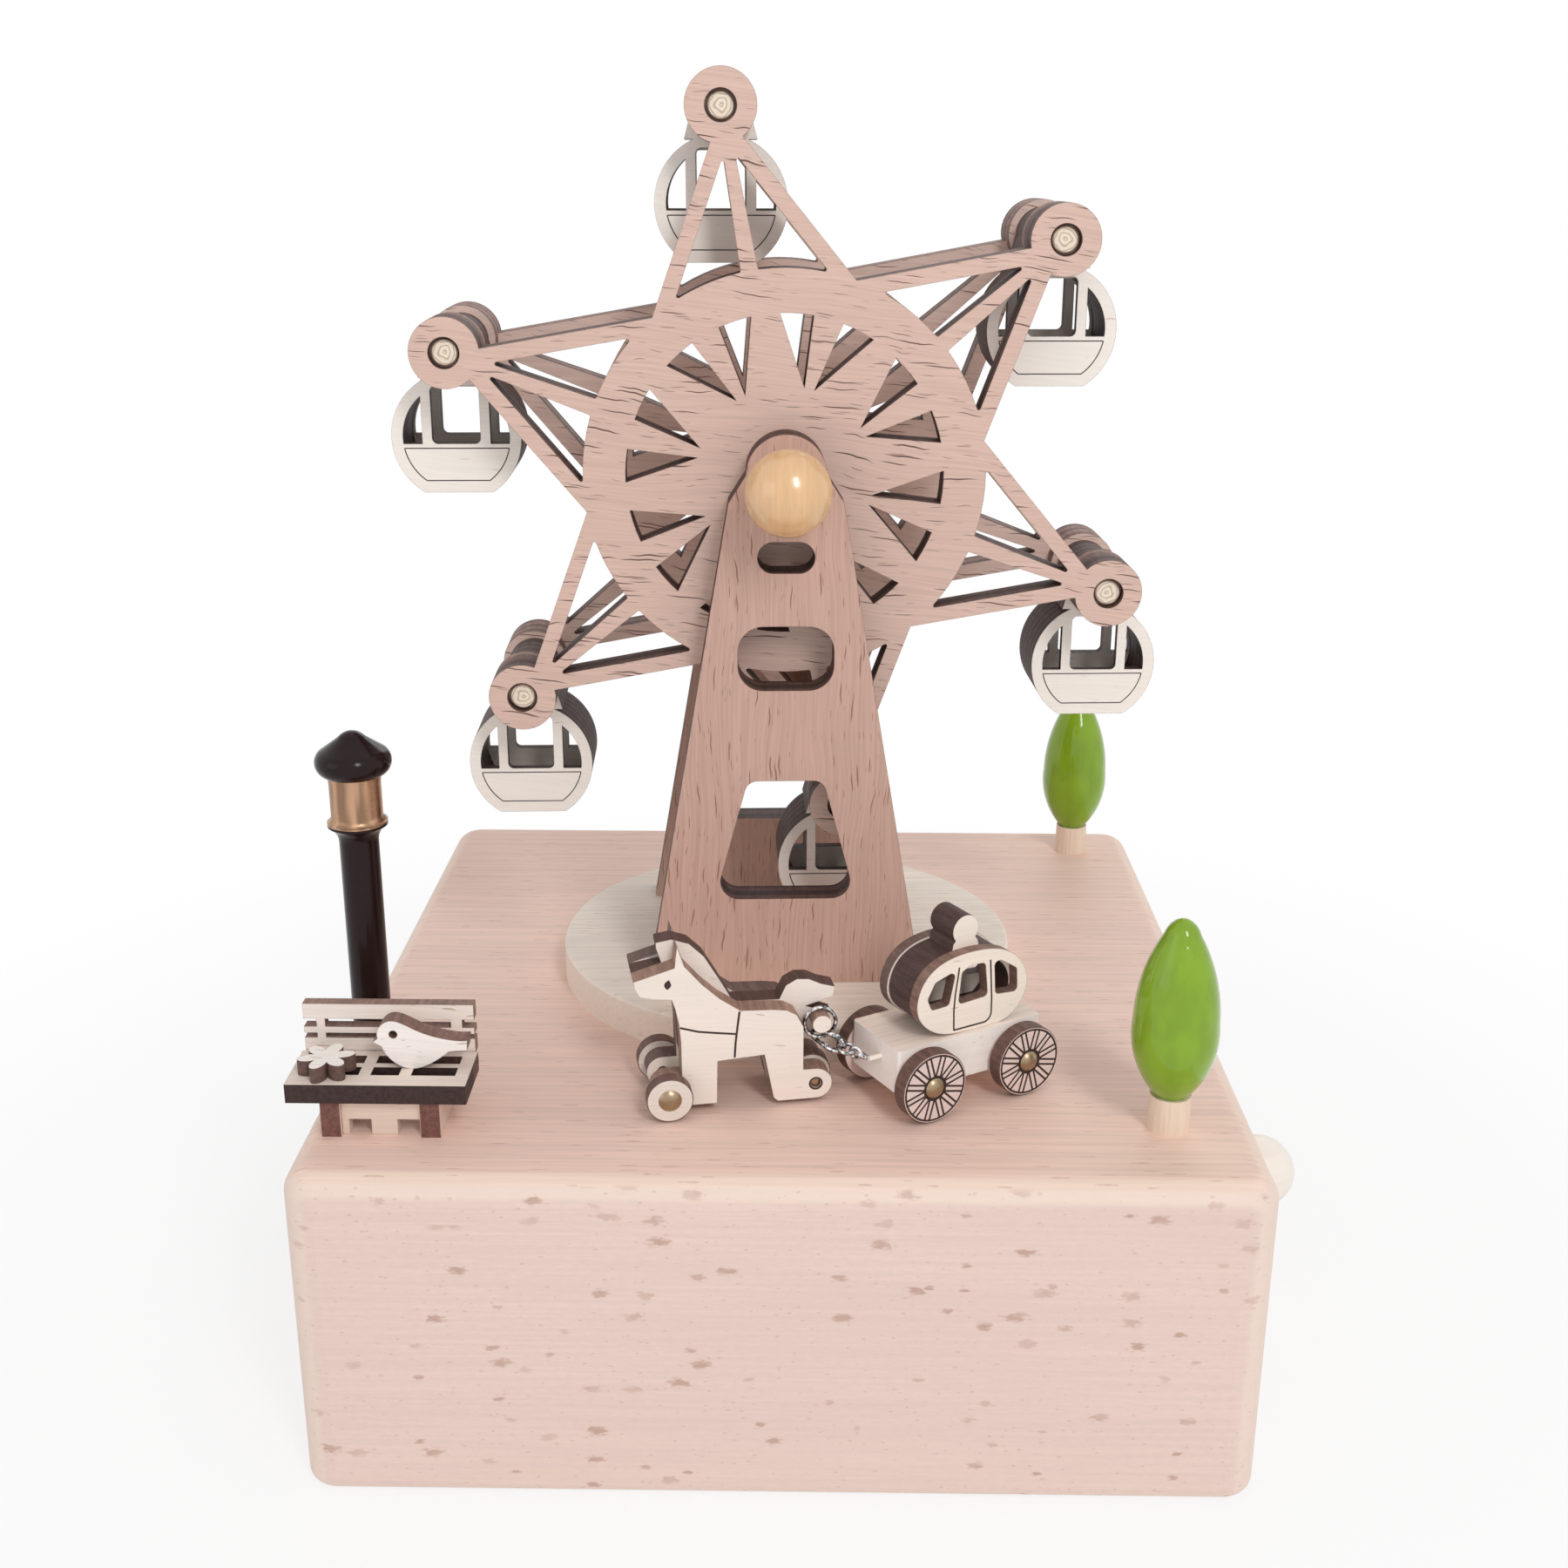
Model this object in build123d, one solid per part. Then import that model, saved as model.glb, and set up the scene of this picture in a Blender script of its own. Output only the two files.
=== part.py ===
from build123d import *
import math
import os

# A wooden hand-cranked toy: a hollow beech block carries a ferris wheel on a round plinth, a street lamp,
# a bench and two trees. A crank in the right wall turns a small comb movement inside the block and, through
# a friction wheel, a disc with a magnet that leads a horse and carriage round the plinth.
# Millimetres. X is right, Y is away from the front, Z is up. The origin is the centre of the underside.

# ---- base block ----
block_width = 110.0
block_depth = 113.0
block_height = 41.0
block_wall = 6.0
block_top = 4.5
block_corner_radius = 4.0
block_top_edge_radius = 3.2
block_bottom_edge_radius = 1.5
corner_post = 9.0
floor_thickness = 3.0
floor_ledge = 2.0
fit_gap = 0.02          # between glued or pressed pieces
running_gap = 0.08      # round a shaft that turns in a hole
face_gap = 0.2          # between faces that slide past each other

# ---- tower and wheel ----
tower_y = 2.0
tower_shift = -0.8      # legs and wheel stand this far to the side of the plinth's centre
tower_turn = 2.8        # degrees about Z, as the tower stands on the plinth
plinth_radius = 30.2
plinth_height = 4.8
axle_height = 110.0
leg_thickness = 4.4
tower_half_depth = 17.2
leg_arch_radius = 4.75
leg_arch_rise = 1.0     # centre of the rounded top above the axle
leg_shoulder_half = 6.85
leg_shoulder_drop = 2.3
leg_foot_half = 17.5
slot_window = (8.8, 6.9, 3.8)           # middle below the axle, width, height
square_window = (21.2, 11.7, 8.0, 3.1)  # the same, and the corner radius
arch_window = (36.8, 52.5, 4.7, 8.9)    # top and bottom below the axle, half widths there
arch_window_radii = (1.6, 2.4)          # its top and bottom corners
tenon_width = 20.0
tenon_length = 4.3
wheel_radius = 42.5     # axle to the pins of the gondolas
wheel_turn = 10.0       # degrees that the top arm leans to the left
arm_count = 6
plate_thickness = 4.0
plate_gap = 0.8         # between a leg and the wheel plate beside it
lobe_radius = 4.15
neck_half = 1.8
outer_bar = 1.85
centre_bar_outer = 1.25
centre_bar_inner = 2.05
rim_radius = 24.2       # the solid ring of the plate
wedge_outer = 19.1
wedge_inner = 10.7
wedge_pairs = 8
wedge_first = 19.5      # degrees from an arm to the middle of a pair
axle_radius = 2.5
axle_in_cap = 1.7       # length of the axle that the end cap covers
hub_radius = 6.0
ball_radius = 5.04
ball_clear = 1.5        # from the leg to the ball
cap_radius = 4.4
cap_length = 2.5
cap_clear = 0.6         # from the rear leg to the cap
pin_radius = 1.55
pin_mouth_clear = 0.3   # wider mouth of a pin's hole, round the pin
pin_recess = 0.7
mouth_depth = 1.6

# ---- gondolas ----
gondola_depth = 10.0
gondola_radius = 7.9
gondola_drop = 10.8     # pin to the middle of the round body
gondola_flat = 6.7      # middle of the body to its flat underside
gondola_face = 1.2
gondola_wall = 1.2
gondola_rim = 1.4
gondola_ear = 3.3
mullion_inner = 2.95
mullion_outer = 4.15
sill_drop = 0.75
centre_window_height = 7.0
gondola_lid = 6.0       # middle of the body to the underside of its roof

# ---- crank and the works ----
crank_height = 20.5
crank_arm_length = 15.0
crank_angle = 191.0     # degrees in the YZ plane, from +Y towards +Z
shaft_radius = 1.5
bush_radius = 3.5
bush_flange_radius = 5.2
bush_flange = 0.8
arm_thickness = 2.0
arm_ends = (3.2, 2.6)   # radius of the arm at the shaft and at the knob
arm_halves = (2.6, 2.0)         # half its height there
knob_radius = 4.8
knob_clear = 0.5
knob_pin_radius = 1.2
knob_pin_depth = 2.4    # past the middle of the knob
friction_x = -28.0
friction_width = 5.0
friction_radius = 11.9
tyre_thickness = 1.7
carrier_radius = 46.0
carrier_thickness = 3.0
pivot_radius = 2.5
pivot_head = (4.0, 1.4)
magnet_radius = 4.0
magnet_depth = 2.5
gear_module = 0.8
pinion_teeth = 16
gear_teeth = 24
gear_width = 3.0
cylinder_radius = 6.5
cylinder_length = 28.0
cylinder_drop = 4.5     # cylinder axis below the crank shaft
cheek_thickness = 2.5
bed_thickness = 2.0
comb_teeth = 18
cheek_front = -3.5      # the cheek plates that carry the shafts, in Y
cheek_back = 8.0
cheek_top = 25.0
bed_margins = (7.0, 5.5)        # bedplate beyond the left and right end of the cylinder
bed_front = -8.5
bed_tail = 2.4          # bedplate behind the comb's block
bed_screw_inset = (1.8, 2.2)
comb_reach = 8.2        # from the cylinder to the block that carries the comb
comb_block_depth = 5.5
comb_thickness = 1.2
comb_slit = 0.35
comb_tip_gap = 0.75
comb_screw_x = 8.0
spindle_radius = 1.25   # the cylinder's own axle
spindle_ends = (5.5, 10.0)      # how far it passes the cylinder, left and right
stud_count = 30
stud_radius = 0.22
stud_height = 0.4
base_screw_radius = 1.5
base_screw_length = 10.4
base_head = (2.8, 1.1)  # radius and height of a screw's head
small_screw_radius = 1.0
bed_screw_length = 4.0
bed_head = (1.7, 1.1)
comb_screw_length = 4.6
comb_head = (1.9, 1.1)
screw_slot = (0.5, 0.3)         # width and depth of the driver slot

# ---- horse and carriage ----
horse_x = -8.0
horse_y = -40.2
horse_turn = 11.0
horse_layer = 2.67
horse_wheel_radius = 2.7
horse_wheel_width = 1.8
horse_front_axle = (-5.2, 2.85)
horse_rear_axle = (12.2, 2.5)
roller_radius = 2.35
roller_pin_radius = 0.5
horse_pin_radius = 0.6
horse_pin_head = (1.35, 0.5)    # radius and height of the domed head
horse_foot_radius = 1.9
tow_magnet_size = (3.6, 5.8)
tow_magnet_place = (-1.5, 3.7)
road_gap = 0.15         # wheels stand this far above the block's top
carriage_x = 17.6
carriage_y = -42.6
carriage_turn = 31.0
carriage_wheel_radius = 4.35
carriage_wheel_width = 2.0
carriage_track = 14.6
wheelbase = 13.4
chassis_front = -3.5
chassis_back = 16.6
chassis_width = 9.8
chassis_bottom = 3.4
chassis_top = 8.9
carriage_pin_radius = 0.7
carriage_pin_head = (1.25, 0.55)
cabin_near = 3.0        # near face of the cabin
cabin_plate = 1.5
cabin_core = 4.8
window_corner = 0.55
cabin_rim = 1.3         # height of the core's rim above the chassis
ornament_centre = (6.9, 21.0)
ornament_radius = 1.8
ring_place = (12.9, 1.35, 9.7)
ring_wire = 0.25
ring_radius = 1.85
peg_radius = 1.1
peg_rise = 0.35         # the ring hangs this much below the peg's middle
clasp_wire = 0.25
clasp_gap = 0.22        # between the wires of ring and clasp
clasp_reach = 0.38      # how far the loop's round end lies behind the ring's wire
clasp_belly = 1.15      # half width of the pear-shaped loop
clasp_tail = 3.3        # length of the loop
clasp_tail_half = 0.6
clasp_rod_radius = 0.55
clasp_ball_radius = 1.0
eye_place = (-5.0, 6.2, 6.8)
eye_radius = 0.3

# ---- lamp, trees, bench ----
lamp_x = -49.9
lamp_y = -29.0
pole_radius = 2.3
pole_top = 31.5         # above the block's top
collar_radius = 3.5
collar_height = 2.2
lantern_radius = 3.0
lantern_height = 5.8
lamp_cap_radius = 4.42
lamp_cap_height = 5.3
tree_places = {"front": (44.4, -43.0), "rear": (45.0, 46.5)}
trunk_radius = 2.45
trunk_height = 4.4
canopy_radius = 4.85
canopy_height = 21.6
tip_radius = 0.3        # tiny flat that the lathe leaves on top
peg_depth = 3.5
foot_peg_radius = 1.5
bench_x = -45.5
bench_front = -47.5
bench_length = 20.4
seat_top = 6.8
seat_thickness = 2.3
seat_depth = 8.4
bench_back_bottom = 4.4
bench_back_top = 12.7
bench_back_inset = 0.3
bench_board = 1.5
bench_leg_x = {"left": (-6.5, -4.3), "right": (4.8, 7.0)}
bench_leg_depth = 7.4
bench_leg_middle = 4.2
skirt_front = 1.2
skirt_notch = (2.5, 1.9)        # width and height
skirt_notch_x = (-2.2, 3.3)
seat_gap_ends = ((1.4, 7.8), (9.2, 12.4), (13.8, 18.8))     # from the left end of the seat
seat_gap_rows = ((2.5, 4.4), (5.4, 7.2))                    # from its front
back_gap_ends = ((-1.0, 1.5), (2.5, 17.1), (18.4, 21.0))    # from the left end of the backrest
back_gap_rows = ((5.3, 6.6), (8.4, 9.0), (9.8, 10.8))       # above the block's top
bird_thickness = 2.4
bird_shift = 1.2        # to the right of the bench's middle
bird_front = 4.1
bird_eye = (0.3, 11.1, 0.48)   # place and radius
flower_place = (-6.1, 3.4)
flower_thickness = 1.9
flower_middle = 1.4
petal_reach = 1.9
petal_halves = (1.35, 0.85)
petal_first = 15.0

# ---- worked out from the sizes above ----
neck_reach = wheel_radius - lobe_radius + 0.6
cavity_ceiling = block_height - block_top
plinth_top = block_height + plinth_height
leg_front = -tower_half_depth
plate_front = leg_front + leg_thickness + plate_gap
plate_back = -plate_front - plate_thickness
inner_front = plate_front + plate_thickness
gondola_front = -gondola_depth / 2
disc_bottom = crank_height + friction_radius + 0.1
disc_top = disc_bottom + carrier_thickness
pitch_sum = gear_module * (pinion_teeth + gear_teeth) / 2
cylinder_y = tower_y + math.sqrt(pitch_sum ** 2 - cylinder_drop ** 2)
cylinder_z = crank_height - cylinder_drop
bed_top = floor_thickness + bed_thickness
arm_inner = block_width / 2 + bush_flange + 0.4
arm_outer = arm_inner + arm_thickness
knob_centre = arm_outer + knob_clear + knob_radius
bed_left = -cylinder_length / 2 - bed_margins[0]
bed_right = cylinder_length / 2 + bed_margins[1]
comb_block_front = cylinder_y + cylinder_radius + comb_reach
comb_block_back = comb_block_front + comb_block_depth
bed_back = comb_block_back + bed_tail
comb_bottom = cylinder_z - comb_thickness / 2
comb_screw_places = [(x, comb_block_front + comb_block_depth / 2) for x in (-comb_screw_x, comb_screw_x)]
bed_screw_places = [(x, y) for x in (bed_left + bed_screw_inset[0], bed_right - bed_screw_inset[0])
                    for y in (bed_front + bed_screw_inset[1], bed_back - bed_screw_inset[1])]
crank_direction = (math.cos(math.radians(crank_angle)), math.sin(math.radians(crank_angle)))
knob_y = tower_y + crank_arm_length * crank_direction[0]
knob_z = crank_height + crank_arm_length * crank_direction[1]
arm_angles = [90 + wheel_turn - 360 / arm_count * k for k in range(arm_count)]


def polar(radius, degrees):
    return (radius * math.cos(math.radians(degrees)), radius * math.sin(math.radians(degrees)))


def upright(face, thickness):
    """Extrude a flat outline upwards, whichever way its points run."""
    return extrude(face, thickness, dir=(0, 0, 1))


def standing(face, thickness, front):
    """Stand a flat outline up: its x stays X, its y becomes Z, and it runs from y=front backwards."""
    return Pos(0, front + thickness, 0) * Rot(90, 0, 0) * upright(face, thickness)


def sideways(face, thickness, left):
    """Stand an outline in the YZ plane: its x becomes Y, its y becomes Z, from x=left to the right."""
    return Pos(left, 0, 0) * Plane.YZ.location * upright(face, thickness)


def along_y(radius, length, x, z, front):
    return standing(Pos(x, z) * Circle(radius), length, front)


def along_x(radius, length, y, z, left):
    return sideways(Pos(y, z) * Circle(radius), length, left)


def group(shapes):
    """Separate solids that stay in one node."""
    return Compound([solid for shape in shapes for solid in shape.solids()])


def tube_y(outer, inner, length, x, z, front):
    return standing(Pos(x, z) * (Circle(outer) - Circle(inner)), length, front)


def tube_x(outer, inner, length, y, z, left):
    return sideways(Pos(y, z) * (Circle(outer) - Circle(inner)), length, left)


def filled(edge):
    """The face inside a closed edge, facing up."""
    face = make_face(edge).face()
    return Sketch() + (face if face.normal_at().Z > 0 else -face)


def outline(points):
    return filled(Polyline(*points, close=True))


def on_plinth(shape):
    return Pos(0, tower_y, 0) * Rot(0, 0, tower_turn) * shape


def on_tower(shape):
    return on_plinth(Pos(tower_shift, 0, 0) * shape)


def on_horse(shape):
    return Pos(horse_x, horse_y, block_height) * Rot(0, 0, horse_turn) * shape


def on_carriage(shape):
    return Pos(carriage_x, carriage_y, block_height) * Rot(0, 0, carriage_turn) * shape


def tower_point(x, y, z):
    c, s = polar(1, tower_turn)
    x += tower_shift
    return (x * c - y * s, tower_y + x * s + y * c, z)


def horse_point(x, y, z):
    c, s = polar(1, horse_turn)
    return (horse_x + x * c - y * s, horse_y + x * s + y * c, block_height + z)


def carriage_point(x, y, z):
    c, s = polar(1, carriage_turn)
    return (carriage_x + x * c - y * s, carriage_y + x * s + y * c, block_height + z)


# ---- base ----
screw_x = block_width / 2 - block_wall - corner_post / 2 + 1.0
screw_y = block_depth / 2 - block_wall - corner_post / 2 + 1.0
screw_places = [(sx * screw_x, sy * screw_y) for sx in (-1, 1) for sy in (-1, 1)]
floor_size = (block_width - 2 * block_wall + 2 * floor_ledge, block_depth - 2 * block_wall + 2 * floor_ledge)
foot_places = {"lamp": (lamp_x, lamp_y), **tree_places}
head_sink = 0.1         # the base's screw heads lie this far inside the underside


def base_block():
    block = Pos(0, 0, block_height / 2) * Box(block_width, block_depth, block_height)
    block = fillet(block.edges().filter_by(Axis.Z), block_corner_radius)
    block = fillet(block.edges().group_by(Axis.Z)[-1], block_top_edge_radius)
    block = fillet(block.edges().group_by(Axis.Z)[0], block_bottom_edge_radius)
    inner = (block_width - 2 * block_wall, block_depth - 2 * block_wall)
    room = extrude(Rectangle(*inner), cavity_ceiling)
    for x, y in screw_places:
        across = (inner[0] / 2 - corner_post / 2) * math.copysign(1, x)
        along = (inner[1] / 2 - corner_post / 2) * math.copysign(1, y)
        room -= Pos(across, along, cavity_ceiling / 2) * Box(corner_post, corner_post, cavity_ceiling)
    swept = extrude(Circle(carrier_radius + 1), cavity_ceiling - disc_bottom + 1)
    carrier_room = Pos(0, tower_y, disc_bottom - 1) * swept
    rabbet = extrude(Rectangle(floor_size[0] + 2 * fit_gap, floor_size[1] + 2 * fit_gap), floor_thickness)
    block = block - room - carrier_room - rabbet
    for x, y in screw_places:
        block -= Pos(x, y, floor_thickness) * extrude(Circle(base_screw_radius + fit_gap), base_screw_length)
    inside = block_width / 2 - block_wall
    block -= along_x(bush_radius + fit_gap, block_wall + 2, tower_y, crank_height, inside - 1)
    block -= Pos(0, tower_y, cavity_ceiling - 1) * extrude(Circle(pivot_radius + fit_gap), block_top + 2)
    peg_hole = extrude(Circle(foot_peg_radius + fit_gap), peg_depth + 1)
    for x, y in foot_places.values():
        block -= Pos(x, y, block_height - peg_depth) * peg_hole
    return block


def bottom_plate():
    plate = extrude(Rectangle(*floor_size), floor_thickness)
    for x, y in screw_places:
        plate -= Pos(x, y, 0) * extrude(Circle(base_screw_radius + fit_gap), floor_thickness + 1)
        plate -= Pos(x, y, 0) * extrude(Circle(base_head[0] + fit_gap), head_sink + base_head[1])
    pocket = extrude(Circle(small_screw_radius + fit_gap), bed_screw_length)
    for x, y in bed_screw_places:
        plate -= Pos(x, y, bed_top - bed_screw_length - fit_gap) * pocket
    return plate


def headed_screw(head, shank_radius, shank_length):
    """A slotted screw that stands on its head, with its shank upwards."""
    radius, height = head
    width, depth = screw_slot
    screw = extrude(Circle(radius), height) + extrude(Circle(shank_radius), height + shank_length)
    return screw - Box(1.5 * radius, width, 2 * depth)


def bottom_screws():
    screw = headed_screw(base_head, base_screw_radius, base_screw_length)
    return group([Pos(x, y, head_sink) * screw for x, y in screw_places])


def tower_plinth():
    disc = Pos(0, 0, block_height) * extrude(Circle(plinth_radius), plinth_height)
    disc = fillet(disc.edges().group_by(Axis.Z)[-1], 0.5)
    slot = (tenon_width + 2 * fit_gap, leg_thickness + 2 * fit_gap, tenon_length)
    for front in (leg_front, -leg_front - leg_thickness):
        disc -= Pos(tower_shift, front + leg_thickness / 2, plinth_top - tenon_length / 2) * Box(*slot)
    disc -= Pos(0, 0, block_height) * extrude(Circle(pivot_radius + fit_gap), plinth_height - 1)
    return on_plinth(disc)


# ---- tower ----
def arch_opening():
    top, bottom, top_half, bottom_half = arch_window
    arch = outline([(-top_half, axle_height - top), (top_half, axle_height - top),
                    (bottom_half, axle_height - bottom), (-bottom_half, axle_height - bottom)])
    arch = fillet(arch.vertices().group_by(Axis.Y)[-1], arch_window_radii[0])
    return fillet(arch.vertices().group_by(Axis.Y)[0], arch_window_radii[1])


def leg_outline():
    shoulder = (leg_shoulder_half, axle_height - leg_shoulder_drop)
    arch_side = (leg_arch_radius, axle_height + leg_arch_rise)
    crown = (0, axle_height + leg_arch_rise + leg_arch_radius)
    edge = Polyline((-leg_foot_half, plinth_top), (leg_foot_half, plinth_top), shoulder, arch_side)
    edge += ThreePointArc(arch_side, crown, (-arch_side[0], arch_side[1]))
    edge += Polyline((-arch_side[0], arch_side[1]), (-shoulder[0], shoulder[1]), (-leg_foot_half, plinth_top))
    leg = filled(edge)
    tenon = tenon_length - fit_gap
    leg += Pos(0, plinth_top - tenon / 2) * Rectangle(tenon_width, tenon)
    slot_drop, slot_width, slot_height = slot_window
    leg -= Pos(0, axle_height - slot_drop) * SlotOverall(slot_width, slot_height)
    drop, width, height, corner = square_window
    leg -= Pos(0, axle_height - drop) * RectangleRounded(width, height, corner)
    return leg - arch_opening() - Pos(0, axle_height) * Circle(axle_radius + running_gap)


def tower_leg(front):
    return on_tower(standing(leg_outline(), leg_thickness, front))


# ---- ferris wheel ----
def arm_hole(side):
    """One slender opening beside an arm's centre bar, drawn for an arm along +X; side is 1 or -1."""
    valley = polar(rim_radius, 30)
    neck = (neck_reach, neck_half)
    run = math.dist(neck, valley)
    inward = ((valley[1] - neck[1]) / run * outer_bar, (neck[0] - valley[0]) / run * outer_bar)
    start = (neck[0] - inward[0], neck[1] - inward[1])
    slope = (valley[1] - neck[1]) / (valley[0] - neck[0])
    bar_slope = (centre_bar_outer - centre_bar_inner) / 2 / (neck_reach - rim_radius)
    bar_at_rim = centre_bar_inner / 2
    tip_x = (start[1] - slope * start[0] - bar_at_rim + bar_slope * rim_radius) / (bar_slope - slope)
    near = rim_radius - 6
    corners = [(tip_x, start[1] + slope * (tip_x - start[0])),
               (near, bar_at_rim + bar_slope * (near - rim_radius)),
               (near, start[1] + slope * (near - start[0]))]
    hole = outline([(x, side * y) for x, y in corners]) - Circle(rim_radius)
    return fillet(hole.vertices(), 0.22)


def wedge_hole(side):
    """One wedge of a pair about +X, with its sharp tip towards the axle."""
    tip = polar(wedge_inner, 3.2 * side)
    inner_corner, outer_corner = polar(wedge_outer, 5.4 * side), polar(wedge_outer, 17.4 * side)
    edge = Line(tip, inner_corner)
    edge += ThreePointArc(inner_corner, polar(wedge_outer, 11.4 * side), outer_corner)
    edge += Line(outer_corner, tip)
    return filled(edge)


def plate_outline():
    corners = []
    reach = math.hypot(neck_reach, neck_half)
    lean = math.degrees(math.atan2(neck_half, neck_reach))
    half_step = 180 / arm_count
    for angle in arm_angles:
        corners += [polar(reach, angle + lean), polar(reach, angle - lean)]
        corners.append(polar(rim_radius, angle - half_step))
    plate = outline(corners)
    for angle in arm_angles:
        plate += Pos(*polar(wheel_radius, angle)) * Circle(lobe_radius)
    for angle in arm_angles:
        for side in (1, -1):
            plate -= Rot(0, 0, angle) * arm_hole(side)
    for k in range(wedge_pairs):
        for side in (1, -1):
            plate -= Rot(0, 0, arm_angles[0] + wedge_first + 360 / wedge_pairs * k) * wedge_hole(side)
    return plate - Circle(axle_radius + fit_gap)


def wheel_plate(front, mouth_front):
    plate = standing(plate_outline(), plate_thickness, front)
    for angle in arm_angles:
        x, z = polar(wheel_radius, angle)
        plate -= along_y(pin_radius + fit_gap, plate_thickness + 2, x, z, front - 1)
        plate -= along_y(pin_radius + pin_mouth_clear, mouth_depth, x, z, mouth_front)
    return on_tower(Pos(0, 0, axle_height) * plate)


def wheel_hub():
    length = plate_back - inner_front
    return on_tower(tube_y(hub_radius, axle_radius + fit_gap, length, 0, axle_height, inner_front))


ball_y = leg_front - ball_clear - ball_radius
axle_front = ball_y - 1.0
cap_front = -leg_front + cap_clear
axle_back = cap_front + axle_in_cap


def wheel_axle():
    return on_tower(along_y(axle_radius, axle_back - axle_front, 0, axle_height, axle_front))


def axle_ball_knob():
    ball = Pos(0, ball_y, axle_height) * Sphere(ball_radius)
    bore = along_y(axle_radius + fit_gap, 2 * ball_radius, 0, axle_height, axle_front - fit_gap)
    return on_tower(ball - bore)


def axle_end_cap():
    cap = along_y(cap_radius, cap_length, 0, axle_height, cap_front)
    cap = fillet(cap.edges().group_by(Axis.Y)[-1], 0.9)
    return on_tower(cap - along_y(axle_radius + fit_gap, axle_in_cap + fit_gap, 0, axle_height, cap_front))


def pin_places():
    return [(x, axle_height + z) for x, z in (polar(wheel_radius, angle) for angle in arm_angles)]


def gondola_pins():
    front, back = plate_front + pin_recess, plate_back + plate_thickness - pin_recess
    return on_tower(group([along_y(pin_radius, back - front, x, z, front) for x, z in pin_places()]))


def pin_spacers():
    thickness = gondola_front - face_gap - inner_front
    rings = []
    for x, z in pin_places():
        for front in (inner_front, plate_back - thickness):
            rings.append(tube_y(lobe_radius, pin_radius + fit_gap, thickness, x, z, front))
    return on_tower(group(rings))


# ---- gondolas, drawn round their own pin ----
def gondola_body():
    r, ear, ear_foot = gondola_radius, gondola_ear, gondola_ear + 1.0
    body = Pos(0, -gondola_drop) * Circle(r)
    body -= Pos(0, -gondola_drop - gondola_flat - r) * Rectangle(4 * r, 2 * r)
    body += outline([(-ear, 0), (ear, 0), (ear_foot, -3.6), (-ear_foot, -3.6)])
    return body + Circle(ear) - Circle(pin_radius + running_gap)


def gondola_windows():
    inside = Pos(0, -gondola_drop) * Circle(gondola_radius - gondola_rim)
    sill = -gondola_drop - sill_drop
    half = Rectangle(2 * gondola_radius, 4 * gondola_radius)
    right = Pos(mullion_outer + gondola_radius, sill + 2 * gondola_radius) * half
    left = Pos(-mullion_outer - gondola_radius, sill + 2 * gondola_radius) * half
    size = (2 * mullion_inner, centre_window_height)
    centre = Pos(0, sill + centre_window_height / 2) * RectangleRounded(*size, 0.7)
    return centre, inside & right, inside & left


def gondola_room():
    """The space inside the bent shell: round, cut flat at the floor and under the roof."""
    wide, low, high = 4 * gondola_radius, gondola_wall - gondola_flat, gondola_lid
    band = Pos(0, (low + high) / 2) * Rectangle(wide, high - low)
    return Pos(0, -gondola_drop) * (Circle(gondola_radius - gondola_wall) & band)


def gondola(index):
    x, z = pin_places()[index]
    face = gondola_body()
    for window in gondola_windows():
        face -= window
    shell = gondola_body() - gondola_room()
    shell_depth = gondola_depth - 2 * gondola_face
    pieces = [standing(face, gondola_face, gondola_front),
              standing(shell, shell_depth, gondola_front + gondola_face),
              standing(face, gondola_face, gondola_front + gondola_face + shell_depth)]
    return on_tower(Pos(x, 0, z) * group(pieces))


# ---- crank ----
def crank_bush():
    bore, outside = shaft_radius + running_gap, block_width / 2
    body = tube_x(bush_radius, bore, block_wall, tower_y, crank_height, outside - block_wall)
    return body + tube_x(bush_flange_radius, bore, bush_flange, tower_y, crank_height, outside)


def crank_shaft():
    left = friction_x - friction_width / 2 - 0.5
    return along_x(shaft_radius, arm_outer - left, tower_y, crank_height, left)


def crank_arm():
    near, far = arm_halves
    ends = Circle(arm_ends[0]) + Pos(crank_arm_length, 0) * Circle(arm_ends[1])
    bar = outline([(0, near), (crank_arm_length, far), (crank_arm_length, -far), (0, -near)])
    arm = ends + bar - Circle(shaft_radius + fit_gap)
    arm -= Pos(crank_arm_length, 0) * Circle(knob_pin_radius + fit_gap)
    return sideways(Pos(tower_y, crank_height) * Rot(0, 0, crank_angle) * arm, arm_thickness, arm_inner)


def crank_knob_pin():
    return along_x(knob_pin_radius, knob_centre + knob_pin_depth - arm_inner, knob_y, knob_z, arm_inner)


def crank_knob():
    ball = Pos(knob_centre, knob_y, knob_z) * Sphere(knob_radius)
    left = knob_centre - knob_radius - 1
    depth = knob_centre + knob_pin_depth + face_gap - left
    return ball - along_x(knob_pin_radius + running_gap, depth, knob_y, knob_z, left)


friction_left = friction_x - friction_width / 2


def friction_wheel():
    rim = friction_radius - tyre_thickness - fit_gap
    return tube_x(rim, shaft_radius + fit_gap, friction_width, tower_y, crank_height, friction_left)


def friction_tyre():
    bore = friction_radius - tyre_thickness
    return tube_x(friction_radius, bore, friction_width, tower_y, crank_height, friction_left)


def gear_outline(teeth, bore):
    pitch = gear_module * teeth / 2
    root, tip = pitch - 1.15 * gear_module, pitch + 0.85 * gear_module
    half = 90 / teeth
    points = []
    for k in range(teeth):
        middle = 360 / teeth * k
        flank = ((root, 1.35), (pitch, 0.9), (tip, 0.42))
        points += [polar(radius, middle - share * half) for radius, share in flank]
        points += [polar(radius, middle + share * half) for radius, share in reversed(flank)]
    return outline(points) - Circle(bore)


gear_left = cylinder_length / 2 + 6.0


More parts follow.
